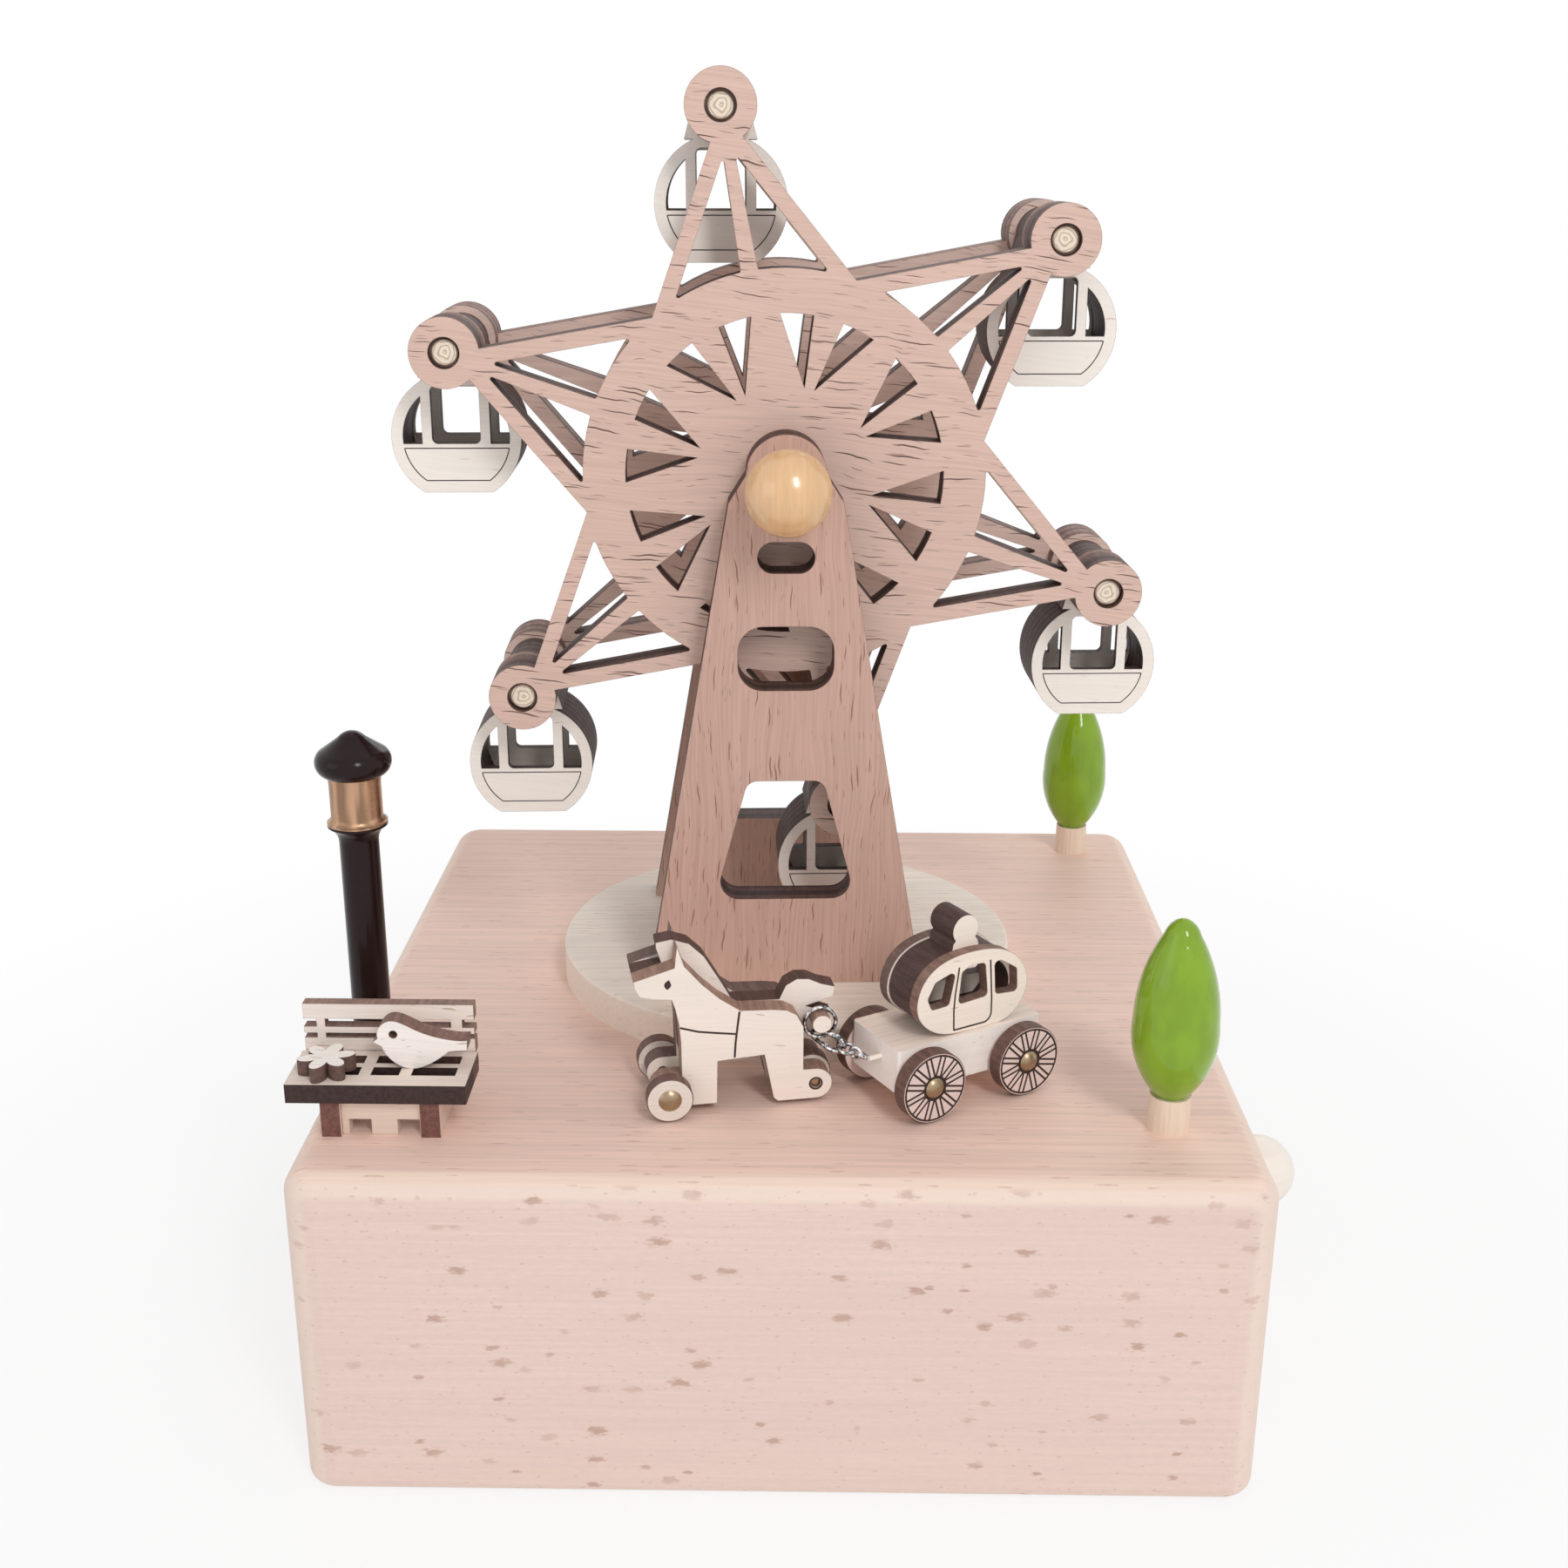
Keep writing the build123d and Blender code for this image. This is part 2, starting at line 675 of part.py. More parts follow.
def drive_pinion():
    towards_gear = math.degrees(math.atan2(cylinder_z - crank_height, cylinder_y - tower_y))
    turned = Rot(0, 0, towards_gear) * gear_outline(pinion_teeth, shaft_radius + fit_gap)
    return sideways(Pos(tower_y, crank_height) * turned, gear_width, gear_left)


# ---- comb movement ----
def cylinder_gear():
    towards_pinion = math.degrees(math.atan2(crank_height - cylinder_z, tower_y - cylinder_y))
    turned = Rot(0, 0, towards_pinion + 180 / gear_teeth) * gear_outline(gear_teeth, spindle_radius + fit_gap)
    return sideways(Pos(cylinder_y, cylinder_z) * turned, gear_width, gear_left)


def music_cylinder():
    half = cylinder_length / 2
    drum = along_x(cylinder_radius, cylinder_length, cylinder_y, cylinder_z, -half)
    left, right = spindle_ends
    drum += along_x(spindle_radius, left + cylinder_length + right, cylinder_y, cylinder_z, -half - left)
    tooth_pitch, sunk = cylinder_length / comb_teeth, 0.3
    stud = extrude(Circle(stud_radius), sunk + stud_height)
    for k in range(stud_count):
        angle = 360 / stud_count * k
        across = -half + tooth_pitch * (k * 7 % comb_teeth + 0.5)
        y, z = polar(cylinder_radius - sunk, angle)
        drum += Pos(across, cylinder_y + y, cylinder_z + z) * Rot(angle - 90, 0, 0) * stud
    return drum


def cheek_outline():
    """The two cheeks: low and long under the cylinder, tall round the crank's shaft."""
    cheek = outline([(cheek_front, bed_top), (cylinder_y + 6, bed_top), (cylinder_y + 4, cylinder_z + 3),
                     (cheek_back, cheek_top), (cheek_front, cheek_top)])
    cheek -= Pos(tower_y, crank_height) * Circle(shaft_radius + running_gap)
    return cheek - Pos(cylinder_y, cylinder_z) * Circle(spindle_radius + running_gap)


def movement_bedplate():
    size = (bed_right - bed_left, bed_back - bed_front)
    bed = extrude(Rectangle(*size), bed_thickness)
    bed = Pos((bed_left + bed_right) / 2, (bed_front + bed_back) / 2, floor_thickness) * bed
    for left in (-cylinder_length / 2 - 2 - cheek_thickness, cylinder_length / 2 + 2):
        bed += sideways(cheek_outline(), cheek_thickness, left)
    block = extrude(Rectangle(cylinder_length, comb_block_depth), comb_bottom - bed_top)
    bed += Pos(0, comb_block_front + comb_block_depth / 2, bed_top) * block
    for x, y in bed_screw_places:
        bed -= Pos(x, y, 0) * extrude(Circle(small_screw_radius + fit_gap), bed_top + 1)
    depth = comb_screw_length - comb_thickness + 0.4
    for x, y in comb_screw_places:
        bed -= Pos(x, y, comb_bottom - depth) * extrude(Circle(small_screw_radius + fit_gap), depth + 1)
    return bed


def movement_comb():
    tip = cylinder_y + cylinder_radius + comb_tip_gap
    root = comb_block_front - 0.6
    comb = extrude(Rectangle(cylinder_length, comb_block_back - tip), comb_thickness)
    comb = Pos(0, (tip + comb_block_back) / 2, comb_bottom) * comb
    pitch = cylinder_length / comb_teeth
    slit = Box(comb_slit, root - tip, 2 * comb_thickness)
    for k in range(1, comb_teeth):
        comb -= Pos(-cylinder_length / 2 + pitch * k, (tip + root) / 2, cylinder_z) * slit
    for x, y in comb_screw_places:
        comb -= Pos(x, y, comb_bottom - 1) * extrude(Circle(small_screw_radius + fit_gap), comb_thickness + 2)
    return comb


def movement_screws():
    head_down = Rot(180, 0, 0)
    comb_screw = head_down * headed_screw(comb_head, small_screw_radius, comb_screw_length)
    bed_screw = head_down * headed_screw(bed_head, small_screw_radius, bed_screw_length)
    comb_top = comb_bottom + comb_thickness
    screws = [Pos(x, y, comb_top + comb_head[1]) * comb_screw for x, y in comb_screw_places]
    screws += [Pos(x, y, bed_top + bed_head[1]) * bed_screw for x, y in bed_screw_places]
    return group(screws)


# ---- magnet carrier under the top ----
def carrier_pivot():
    radius, height = pivot_head
    bottom = disc_bottom - face_gap
    pin = Pos(0, tower_y, bottom) * extrude(Circle(pivot_radius), plinth_top - 1.2 - bottom)
    return pin + Pos(0, tower_y, bottom - height) * extrude(Circle(radius), height)


tow_point = horse_point(tow_magnet_place[0], 1.5 * horse_layer, 0)
tow_radius = math.dist(tow_point[:2], (0, tower_y))


def magnet_carrier():
    disc = extrude(Circle(carrier_radius) - Circle(pivot_radius + running_gap), carrier_thickness)
    pocket = extrude(Circle(magnet_radius + fit_gap), magnet_depth + 1)
    disc = Pos(0, tower_y, disc_bottom) * disc
    return disc - Pos(tow_point[0], tow_point[1], disc_top - magnet_depth) * pocket


def carrier_magnet():
    magnet = extrude(Circle(magnet_radius), magnet_depth)
    return Pos(tow_point[0], tow_point[1], disc_top - magnet_depth) * magnet


# ---- horse: x runs from nose to tail, its near face is y=0, z is above the block's top ----
head_and_chest = [(-8.9, 17.1), (-8.8, 16.3), (-8.2, 15.2), (-6.6, 14.8), (-4.6, 14.6), (-4.2, 13.4),
                  (-3.8, 11.5), (-3.6, 9.2)]


def horse_foot(axle, inner_edge):
    """A round foot about an axle, joined to the leg beside it."""
    x, z = axle
    r = horse_foot_radius
    return Pos(x, z) * Circle(r) + outline([(x, z - r), (inner_edge, z - r), (inner_edge, z + r), (x, z + r)])


def horse_side_outline():
    side = outline(head_and_chest + [
        (-3.5, 1.0), (0.5, 1.0), (0.6, 6.4), (6.1, 6.75), (7.2, 1.1), (7.7, 0.6), (10.7, 0.6), (10.7, 9.9),
        (9.9, 11.5), (8.7, 12.2), (7.2, 12.4), (3.3, 12.6), (0.9, 14.3), (-1.1, 16.2), (-3.1, 18.6),
        (-3.9, 21.1), (-4.2, 18.5)])
    side += horse_foot(horse_front_axle, -3.0) + horse_foot(horse_rear_axle, 10.5)
    side -= Pos(*horse_front_axle) * Circle(horse_pin_radius + running_gap)
    return side - Pos(*horse_rear_axle) * Circle(roller_pin_radius + running_gap)


def horse_sides():
    face = horse_side_outline()
    return on_horse(group([standing(face, horse_layer, front) for front in (0, 2 * horse_layer)]))


ring_x, ring_y, ring_z = ring_place


def horse_middle_layer():
    peg_z = ring_z + peg_rise
    body = outline(head_and_chest + [
        (-3.5, 6.6), (6.1, 6.75), (10.7, 6.75), (ring_x + 1.0, peg_z - 1.6), (14.6, peg_z), (11.4, 11.3),
        (13.4, 11.9), (14.7, 12.3), (14.9, 13.5), (13.2, 14.0), (11.8, 14.7), (10.4, 14.8), (9.1, 14.1),
        (8.3, 12.4), (2.8, 12.6), (2.1, 14.0), (0.9, 16.1), (-0.5, 18.5), (-2.2, 20.2), (-4.2, 20.9),
        (-6.0, 20.6), (-6.0, 20.0), (-5.3, 17.7)])
    layer = standing(body, horse_layer, horse_layer)
    return on_horse(layer + along_y(peg_radius, horse_layer + 0.5, ring_x, peg_z, 0.0))


def domed_head(head):
    """A round head whose flat side is at z=0 and whose dome rises along +Z."""
    radius, height = head
    ball = (radius ** 2 + height ** 2) / (2 * height)
    return Pos(0, 0, height - ball) * Sphere(ball) & extrude(Circle(2 * radius), 2 * height)


def pinned_wheels(radius, width, place, near, far, pin, head):
    """Two wheels pressed on a headed pin that runs along Y; near and far are their outer faces."""
    x, z = place
    wheels = [tube_y(radius, pin + fit_gap, width, x, z, front) for front in (near, far - width)]
    rod = along_y(pin, far - near, x, z, near)
    rod += Pos(x, near, z) * Rot(90, 0, 0) * domed_head(head)
    rod += Pos(x, far, z) * Rot(-90, 0, 0) * domed_head(head)
    return group(wheels + [rod])


def horse_front_wheels():
    width = horse_wheel_width
    near, far = -face_gap - width, 3 * horse_layer + face_gap + width
    radius = horse_wheel_radius
    place = (horse_front_axle[0], radius + road_gap)
    return on_horse(pinned_wheels(radius, width, place, near, far, horse_pin_radius, horse_pin_head))


def horse_rear_roller():
    x, z = horse_rear_axle
    roller = along_y(roller_radius, horse_layer - 2 * face_gap, x, z, horse_layer + face_gap)
    return on_horse(roller + along_y(roller_pin_radius, 3 * horse_layer - 0.8, x, z, 0.4))


def tow_magnet():
    length, height = tow_magnet_size
    x, z = tow_magnet_place
    return on_horse(Pos(x, 1.5 * horse_layer, z) * Box(length, horse_layer, height))


def tow_ring():
    return on_horse(Pos(ring_x, ring_y, ring_z) * Rot(90, 0, 0) * Torus(ring_radius, ring_wire))


# ---- clasp between the ring and the carriage ----
hook_end = Vector(*horse_point(ring_x, ring_y, ring_z - ring_radius))
eye_end = Vector(*carriage_point(*eye_place))


def clasp_frame():
    along = (eye_end - hook_end).normalized()
    wire = Vector(*polar(1, horse_turn), 0)
    normal = (wire - along * wire.dot(along)).normalized()
    return Plane(origin=hook_end, x_dir=along, z_dir=normal)


def clasp_loop():
    """Centre line of the pear-shaped loop, which starts round the ring's wire at the origin."""
    end, back = ring_wire + clasp_wire + clasp_gap, -clasp_reach
    belly, tail, half = clasp_belly, clasp_tail, clasp_tail_half
    loop = ThreePointArc((back, end), (back - end, 0), (back, -end))
    loop += Spline((back, -end), (tail * 0.5, -belly), (tail, -half), tangents=[(1, 0), (1, 1)])
    loop += Line((tail, -half), (tail, half))
    return loop + Spline((tail, half), (tail * 0.5, belly), (back, end), tangents=[(-1, 1), (-1, 0)])


def tow_clasp():
    length = (eye_end - hook_end).length
    rod = extrude(Circle(clasp_rod_radius), length - clasp_tail - 0.3)
    steps = 24
    points = [clasp_loop().wire() @ (k / steps) for k in range(steps)]
    clasp = Pos(clasp_tail, 0, 0) * Rot(0, 90, 0) * rod
    clasp += Pos(clasp_tail + 0.45 * (length - clasp_tail), 0, 0) * Sphere(clasp_ball_radius)
    for point, following in zip(points, points[1:] + points[:1]):
        step = following - point
        turn = math.degrees(math.atan2(step.Y, step.X))
        link = Rot(0, 0, turn) * Rot(0, 90, 0) * extrude(Circle(clasp_wire), step.length)
        clasp += Pos(point.X, point.Y, 0) * link + Pos(point.X, point.Y, 0) * Sphere(clasp_wire)
    return clasp_frame().location * clasp


# ---- carriage: x runs from front to rear, the near wheels' outer faces are y=0 ----
axle_z = carriage_wheel_radius + road_gap


def carriage_chassis():
    block = Box(chassis_back - chassis_front, chassis_width, chassis_top - chassis_bottom)
    block = fillet(block.edges().filter_by(Axis.Z), 0.4)
    middle = ((chassis_front + chassis_back) / 2, carriage_track / 2, (chassis_bottom + chassis_top) / 2)
    block = Pos(*middle) * block
    for x in (0, wheelbase):
        block -= along_y(carriage_pin_radius + running_gap, carriage_track, x, axle_z, 0)
    x, y, z = eye_place
    eye = extrude(Circle(eye_radius), chassis_front - x + 0.2)
    return on_carriage(block + Pos(x - 0.1, y, z) * Rot(0, 90, 0) * eye)


def above(height):
    """A large rectangle whose lower side is at this height."""
    return Pos(7, height + 10) * Rectangle(40, 20)


def cabin_outline(inset):
    upper, lower = 0.7 * inset, 0.5 * inset
    loop = Spline((-0.7 + inset, 14.1), (1.1 + upper, 17.4 - upper), (7.0, 18.9 - inset),
                  (12.9 - upper, 17.2 - upper), (14.9 - inset, 13.3), (12.6 - lower, 9.5 + lower),
                  (7.0, 8.9), (2.2 + lower, 9.6 + lower), periodic=True)
    body = filled(loop)
    return body & above(chassis_top)


def cabin_windows():
    left = outline([(0.7, 14.2), (1.7, 16.1), (4.6, 17.0), (3.7, 12.8), (1.3, 12.7)])
    door = outline([(5.4, 16.6), (6.6, 17.2), (8.7, 17.1), (9.2, 12.8), (5.0, 12.6)])
    right = outline([(10.0, 16.9), (11.0, 16.9), (13.3, 15.4), (13.5, 12.4), (10.3, 12.7)])
    return [fillet(window.vertices(), window_corner) for window in (left, door, right)]


def carriage_cabin():
    face = cabin_outline(0)
    for window in cabin_windows():
        face -= window
    ring = cabin_outline(0.3) - (cabin_outline(1.6) & above(chassis_top + cabin_rim))
    middle = cabin_near + cabin_plate
    pieces = [standing(face, cabin_plate, cabin_near), standing(ring, cabin_core, middle),
              standing(face, cabin_plate, middle + cabin_core)]
    return on_carriage(group(pieces))


def carriage_roof_ornament():
    profile = Pos(*ornament_centre) * Circle(ornament_radius)
    profile += outline([(5.0, 18.4), (8.9, 18.4), (8.6, 19.5), (7.9, 20.2), (5.9, 20.2), (5.2, 19.5)])
    profile -= cabin_outline(0.3 - fit_gap)
    return on_carriage(standing(profile, cabin_core - 0.2, cabin_near + cabin_plate + 0.1))


def carriage_wheels(x):
    radius, width = carriage_wheel_radius, carriage_wheel_width
    pin, head = carriage_pin_radius, carriage_pin_head
    return on_carriage(pinned_wheels(radius, width, (x, axle_z), 0, carriage_track, pin, head))


# ---- lamp ----
def turned(edge, x, y, z):
    """A lathe-turned piece: edge is its outline as (radius, height), from the axis round to the axis."""
    return Pos(x, y, z) * revolve(Plane.XZ * make_face(edge + Line(edge @ 1, edge @ 0)), Axis.Z)


def rooted(radius):
    """The start of a turned piece's outline: a round tenon in the block, then the foot that stands on it."""
    depth = peg_depth - 0.1
    return Polyline((0, -depth), (foot_peg_radius, -depth), (foot_peg_radius, 0), (radius, 0))


def lamp_post():
    neck, r = pole_top - collar_height, collar_radius
    belly = (pole_radius + 0.35 * (r - pole_radius), neck + 0.55 * collar_height)
    edge = rooted(pole_radius) + Line((pole_radius, 0), (pole_radius, neck))
    edge += ThreePointArc((pole_radius, neck), belly, (r, pole_top - 0.3))
    edge += Polyline((r, pole_top - 0.3), (r, pole_top), (0, pole_top))
    return turned(edge, lamp_x, lamp_y, block_height)


def lamp_lantern():
    r, h = lantern_radius, lantern_height
    edge = Polyline((0, 0), (collar_radius, 0), (collar_radius, 0.2))
    edge += ThreePointArc((collar_radius, 0.2), (r + 0.12, 0.55), (r, 1.1))
    edge += Polyline((r, 1.1), (r, h - 0.9), (r + 0.1, h), (0, h))
    return turned(edge, lamp_x, lamp_y, block_height + pole_top)


def lamp_cap():
    r, h = lamp_cap_radius, lamp_cap_height
    edge = Line((0, 0), (r - 1.3, 0))
    edge += ThreePointArc((r - 1.3, 0), (r - 0.35, 0.62), (r, 1.7))
    edge += ThreePointArc((r, 1.7), (r - 0.2, 2.5), (r - 0.85, 3.15))
    edge += Line((r - 0.85, 3.15), (1.6, h - 0.75))
    edge += ThreePointArc((1.6, h - 0.75), (1.05, h - 0.28), (tip_radius, h)) + Line((tip_radius, h), (0, h))
    return turned(edge, lamp_x, lamp_y, block_height + pole_top + lantern_height)


# ---- trees ----
def tree_trunk(name):
    x, y = tree_places[name]
    r, h = trunk_radius, trunk_height
    edge = rooted(r) + Polyline((r, 0), (r - 0.12, h), (0, h))
    return turned(edge, x, y, block_height)


def tree_canopy(name):
    x, y = tree_places[name]
    r, h = canopy_radius, canopy_height
    waist, shoulder = 0.43 * h, 0.9 * h
    edge = Line((0, 0), (0.4 * r, 0))
    edge += ThreePointArc((0.4 * r, 0), (0.89 * r, 0.19 * h), (r, waist))
    edge += ThreePointArc((r, waist), (0.78 * r, 0.7 * h), (0.36 * r, shoulder))
    edge += ThreePointArc((0.36 * r, shoulder), (0.22 * r, 0.965 * h), (tip_radius, h))
    edge += Line((tip_radius, h), (0, h))
    return turned(edge, x, y, block_height + trunk_height)


# ---- bench ----
back_y = seat_depth + 0.2


def on_bench(shape):
    return Pos(bench_x, bench_front, block_height) * shape


def between(left, right, low, high):
    """A rectangle from left to right and from low to high."""
    return Pos((left + right) / 2, (low + high) / 2) * Rectangle(right - left, high - low)


def bench_seat():
    left = -bench_length / 2
    seat = between(left, -left, 0, seat_depth)
    for start, end in seat_gap_ends:
        for front, back in seat_gap_rows:
            seat -= between(left + start, left + end, front, back)
    return on_bench(Pos(0, 0, seat_top - seat_thickness) * upright(seat, seat_thickness))


def bench_backrest():
    left = -bench_length / 2 + bench_back_inset
    board = between(left, -left, bench_back_bottom, bench_back_top)
    for start, end in back_gap_ends:
        for low, high in back_gap_rows:
            board -= between(left + start, left + end, low, high)
    return on_bench(standing(board, bench_board, back_y))


def bench_legs():
    top = seat_top - seat_thickness
    front, back = bench_leg_middle - bench_leg_depth / 2, bench_leg_middle + bench_leg_depth / 2
    pieces = [upright(between(left, right, front, back), top) for left, right in bench_leg_x.values()]
    skirt = between(bench_leg_x["left"][1] + fit_gap, bench_leg_x["right"][0] - fit_gap, 0, top)
    width, height = skirt_notch
    for x in skirt_notch_x:
        skirt -= between(x - width / 2, x + width / 2, -1, height)
    return on_bench(group(pieces + [standing(skirt, bench_board, skirt_front)]))


def bench_bird():
    edge = Spline((-1.5, 10.6), (-1.3, 11.9), (-0.3, 12.7), (2.6, 11.8), (6.0, 10.6), (8.7, 10.4))
    edge += Line((8.7, 10.4), (8.6, 9.2)) + Line((8.6, 9.2), (6.5, 9.0))
    edge += Spline((6.5, 9.0), (4.6, 7.6), (2.0, 6.82), (-0.1, 7.9), (-1.1, 9.6))
    edge += Line((-1.1, 9.6), (-2.1, 10.1)) + Line((-2.1, 10.1), (-1.5, 10.6))
    eye_x, eye_z, eye_hole = bird_eye
    bird = filled(edge) - Pos(eye_x, eye_z) * Circle(eye_hole)
    bird -= between(-4, 8, seat_top - 1, seat_top + fit_gap)
    return on_bench(Pos(bird_shift, 0, 0) * standing(bird, bird_thickness, bird_front))


def bench_flower():
    petals = Circle(flower_middle)
    for k in range(6):
        petals += Rot(0, 0, 60 * k + petal_first) * (Pos(petal_reach, 0) * Ellipse(*petal_halves))
    return on_bench(Pos(*flower_place, seat_top) * extrude(petals, flower_thickness))


PIECES = {make.__name__: make for make in (
    base_block, bottom_plate, bottom_screws, tower_plinth, wheel_hub, wheel_axle, axle_ball_knob,
    axle_end_cap, gondola_pins, pin_spacers, crank_bush, crank_shaft, crank_arm, crank_knob_pin,
    crank_knob, friction_wheel, friction_tyre, drive_pinion, cylinder_gear, music_cylinder,
    movement_bedplate, movement_comb,
    movement_screws, carrier_pivot, magnet_carrier, carrier_magnet, horse_sides, horse_middle_layer,
    horse_front_wheels, horse_rear_roller, tow_magnet, tow_ring, tow_clasp, carriage_chassis, carriage_cabin,
    carriage_roof_ornament, lamp_post, lamp_lantern, lamp_cap, bench_seat, bench_backrest, bench_legs,
    bench_bird, bench_flower)}
PIECES["tower_front_leg"] = lambda: tower_leg(leg_front)
PIECES["tower_rear_leg"] = lambda: tower_leg(-leg_front - leg_thickness)
PIECES["wheel_front_plate"] = lambda: wheel_plate(plate_front, plate_front)
PIECES["wheel_rear_plate"] = lambda: wheel_plate(plate_back, plate_back + plate_thickness - mouth_depth)
PIECES["carriage_front_wheels"] = lambda: carriage_wheels(0)
PIECES["carriage_rear_wheels"] = lambda: carriage_wheels(wheelbase)
for tree in tree_places:
    PIECES[f"{tree}_tree_trunk"] = lambda tree=tree: tree_trunk(tree)
    PIECES[f"{tree}_tree_canopy"] = lambda tree=tree: tree_canopy(tree)
for index in range(arm_count):
    PIECES[f"gondola_{index + 1}"] = lambda index=index: gondola(index)

os.makedirs("parts", exist_ok=True)
for name, make in PIECES.items():
    export_step(make(), f"parts/{name}.step")



def report(name, point):
    print(name, [round(v, 4) for v in point])


report("wheel axle", tower_point(0, 0, axle_height))
for index, (x, z) in enumerate(pin_places()):
    report(f"gondola pin {index + 1}", tower_point(x, 0, z))
report("crank shaft", (0, tower_y, crank_height))
report("crank knob", (knob_centre, knob_y, knob_z))
report("cylinder", (0, cylinder_y, cylinder_z))
report("tow magnet's radius", [tow_radius])
report("horse front axle", horse_point(horse_front_axle[0], 0, horse_wheel_radius + road_gap))
report("horse roller", horse_point(horse_rear_axle[0], 0, horse_rear_axle[1]))
for x in (0, wheelbase):
    report("carriage axle", carriage_point(x, 0, axle_z))
report("tow ring", horse_point(*ring_place))
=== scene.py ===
# %% [markdown]
# # A crank ferris wheel toy
#
# The toy on the bench is a beech block with a ferris wheel, a street lamp, a bench, two trees and a horse
# with its carriage. Most of it is cut from thin plywood with a hot beam, which leaves cream faces and
# scorched brown edges. The frame from the drawing office already holds every piece at its true size, so this
# lesson adds what the drawing doesn't have: the look of each wood, the lacquers, the metals, and the small
# turned and bent pieces that a lathe or a pair of pliers would make.

# %% Open the frame
import math
import bmesh
import bpy
from mathutils import Matrix, Vector


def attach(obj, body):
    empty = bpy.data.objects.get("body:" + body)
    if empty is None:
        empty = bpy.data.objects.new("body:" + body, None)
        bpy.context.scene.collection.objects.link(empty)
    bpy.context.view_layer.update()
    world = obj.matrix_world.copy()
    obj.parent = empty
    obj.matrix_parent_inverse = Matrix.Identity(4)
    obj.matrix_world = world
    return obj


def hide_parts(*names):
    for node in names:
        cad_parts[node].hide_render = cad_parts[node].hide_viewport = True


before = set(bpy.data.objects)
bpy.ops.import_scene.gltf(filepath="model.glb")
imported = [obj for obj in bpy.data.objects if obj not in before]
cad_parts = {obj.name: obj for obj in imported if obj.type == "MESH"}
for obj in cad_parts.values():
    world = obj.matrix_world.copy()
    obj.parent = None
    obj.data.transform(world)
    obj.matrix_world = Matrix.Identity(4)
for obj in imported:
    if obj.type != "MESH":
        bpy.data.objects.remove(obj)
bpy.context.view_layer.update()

MM = 0.001

# %% [markdown]
# ## The groups of the toy
#
# The tower, the horse, the carriage and the bench each stand at their own place and turn on the block. A
# matrix for each group lets every piece be made in plain millimetres, as on a drawing, with x to the right,
# y to the back and z up, and then be set down in its place.

# %% Where each group stands


def group_at(x, y, z, degrees):
    """The matrix of a group that stands at x, y, z in millimetres, turned about the upright axis."""
    place = Matrix.Translation(Vector((x, y, z)) * MM)
    return place @ Matrix.Rotation(math.radians(degrees), 4, "Z")


def at(x, y, z):
    return Matrix.Translation(Vector((x, y, z)) * MM)


BLOCK_TOP = 41.0
AXLE_HEIGHT = 110.0
WHEEL_RADIUS = 42.5
HORSE_DEPTH = 8.01
CABIN_NEAR, CABIN_FAR = 3.0, 10.8
RING_PLACE = (12.9, 1.35, 9.7)
RING_RADIUS = 1.85
block_group = group_at(0, 0, 0, 0)
tower_group = group_at(0, 2, 0, 2.8) @ at(-0.8, 0, 0)
horse_group = group_at(-8, -40.2, BLOCK_TOP, 11)
carriage_group = group_at(17.6, -42.6, BLOCK_TOP, 31)
bench_group = group_at(-45.5, -47.5, BLOCK_TOP, 0)
print("tower turned by", round(math.degrees(tower_group.to_euler().z), 1), "degrees")

# %% [markdown]
# ## The camera
#
# The photograph was taken from a little above, close to the toy, so the block's top spreads towards us. The
# place, the turn and the lens were worked out from the block's corners and the wheel's pins.

# %% Camera
camera_data = bpy.data.cameras.new("camera")
camera_data.lens = 42.3234
camera_data.sensor_width = 36.0
camera_data.clip_start = 0.01
camera = bpy.data.objects.new("camera", camera_data)
bpy.context.scene.collection.objects.link(camera)

yaw, pitch, roll = (math.radians(v) for v in (-0.77484, 18.80193, -0.16114))
ahead = Vector((math.sin(yaw) * math.cos(pitch), math.cos(yaw) * math.cos(pitch), -math.sin(pitch)))
level = Vector((math.cos(yaw), -math.sin(yaw), 0))
down = ahead.cross(level)
side = level * math.cos(roll) + down * math.sin(roll)
below = down * math.cos(roll) - level * math.sin(roll)
camera.matrix_world = Matrix((
    (side.x, -below.x, -ahead.x, 2.7593 * MM),
    (side.y, -below.y, -ahead.y, -231.2478 * MM),
    (side.z, -below.z, -ahead.z, 146.3790 * MM),
    (0, 0, 0, 1)))
bpy.context.scene.camera = camera
print("camera", round(camera.location.length, 3), "m from the middle of the underside")

# %% [markdown]
# ## Colours and materials
#
# A colour is picked from the photograph as the eye sees it, on a scale to 255, and Blender wants it as
# amounts of light. A recipe is a material that is being put together: each call adds one node and hands
# back its output, so that the look of a wood reads as a few lines.

# %% Colours and recipes


def tone(red, green, blue):
    """A colour of the photograph, as amounts of light."""
    shares = [v / 255 for v in (red, green, blue)]
    return tuple(v / 12.92 if v <= 0.04045 else ((v + 0.055) / 1.055) ** 2.4 for v in shares) + (1.0,)


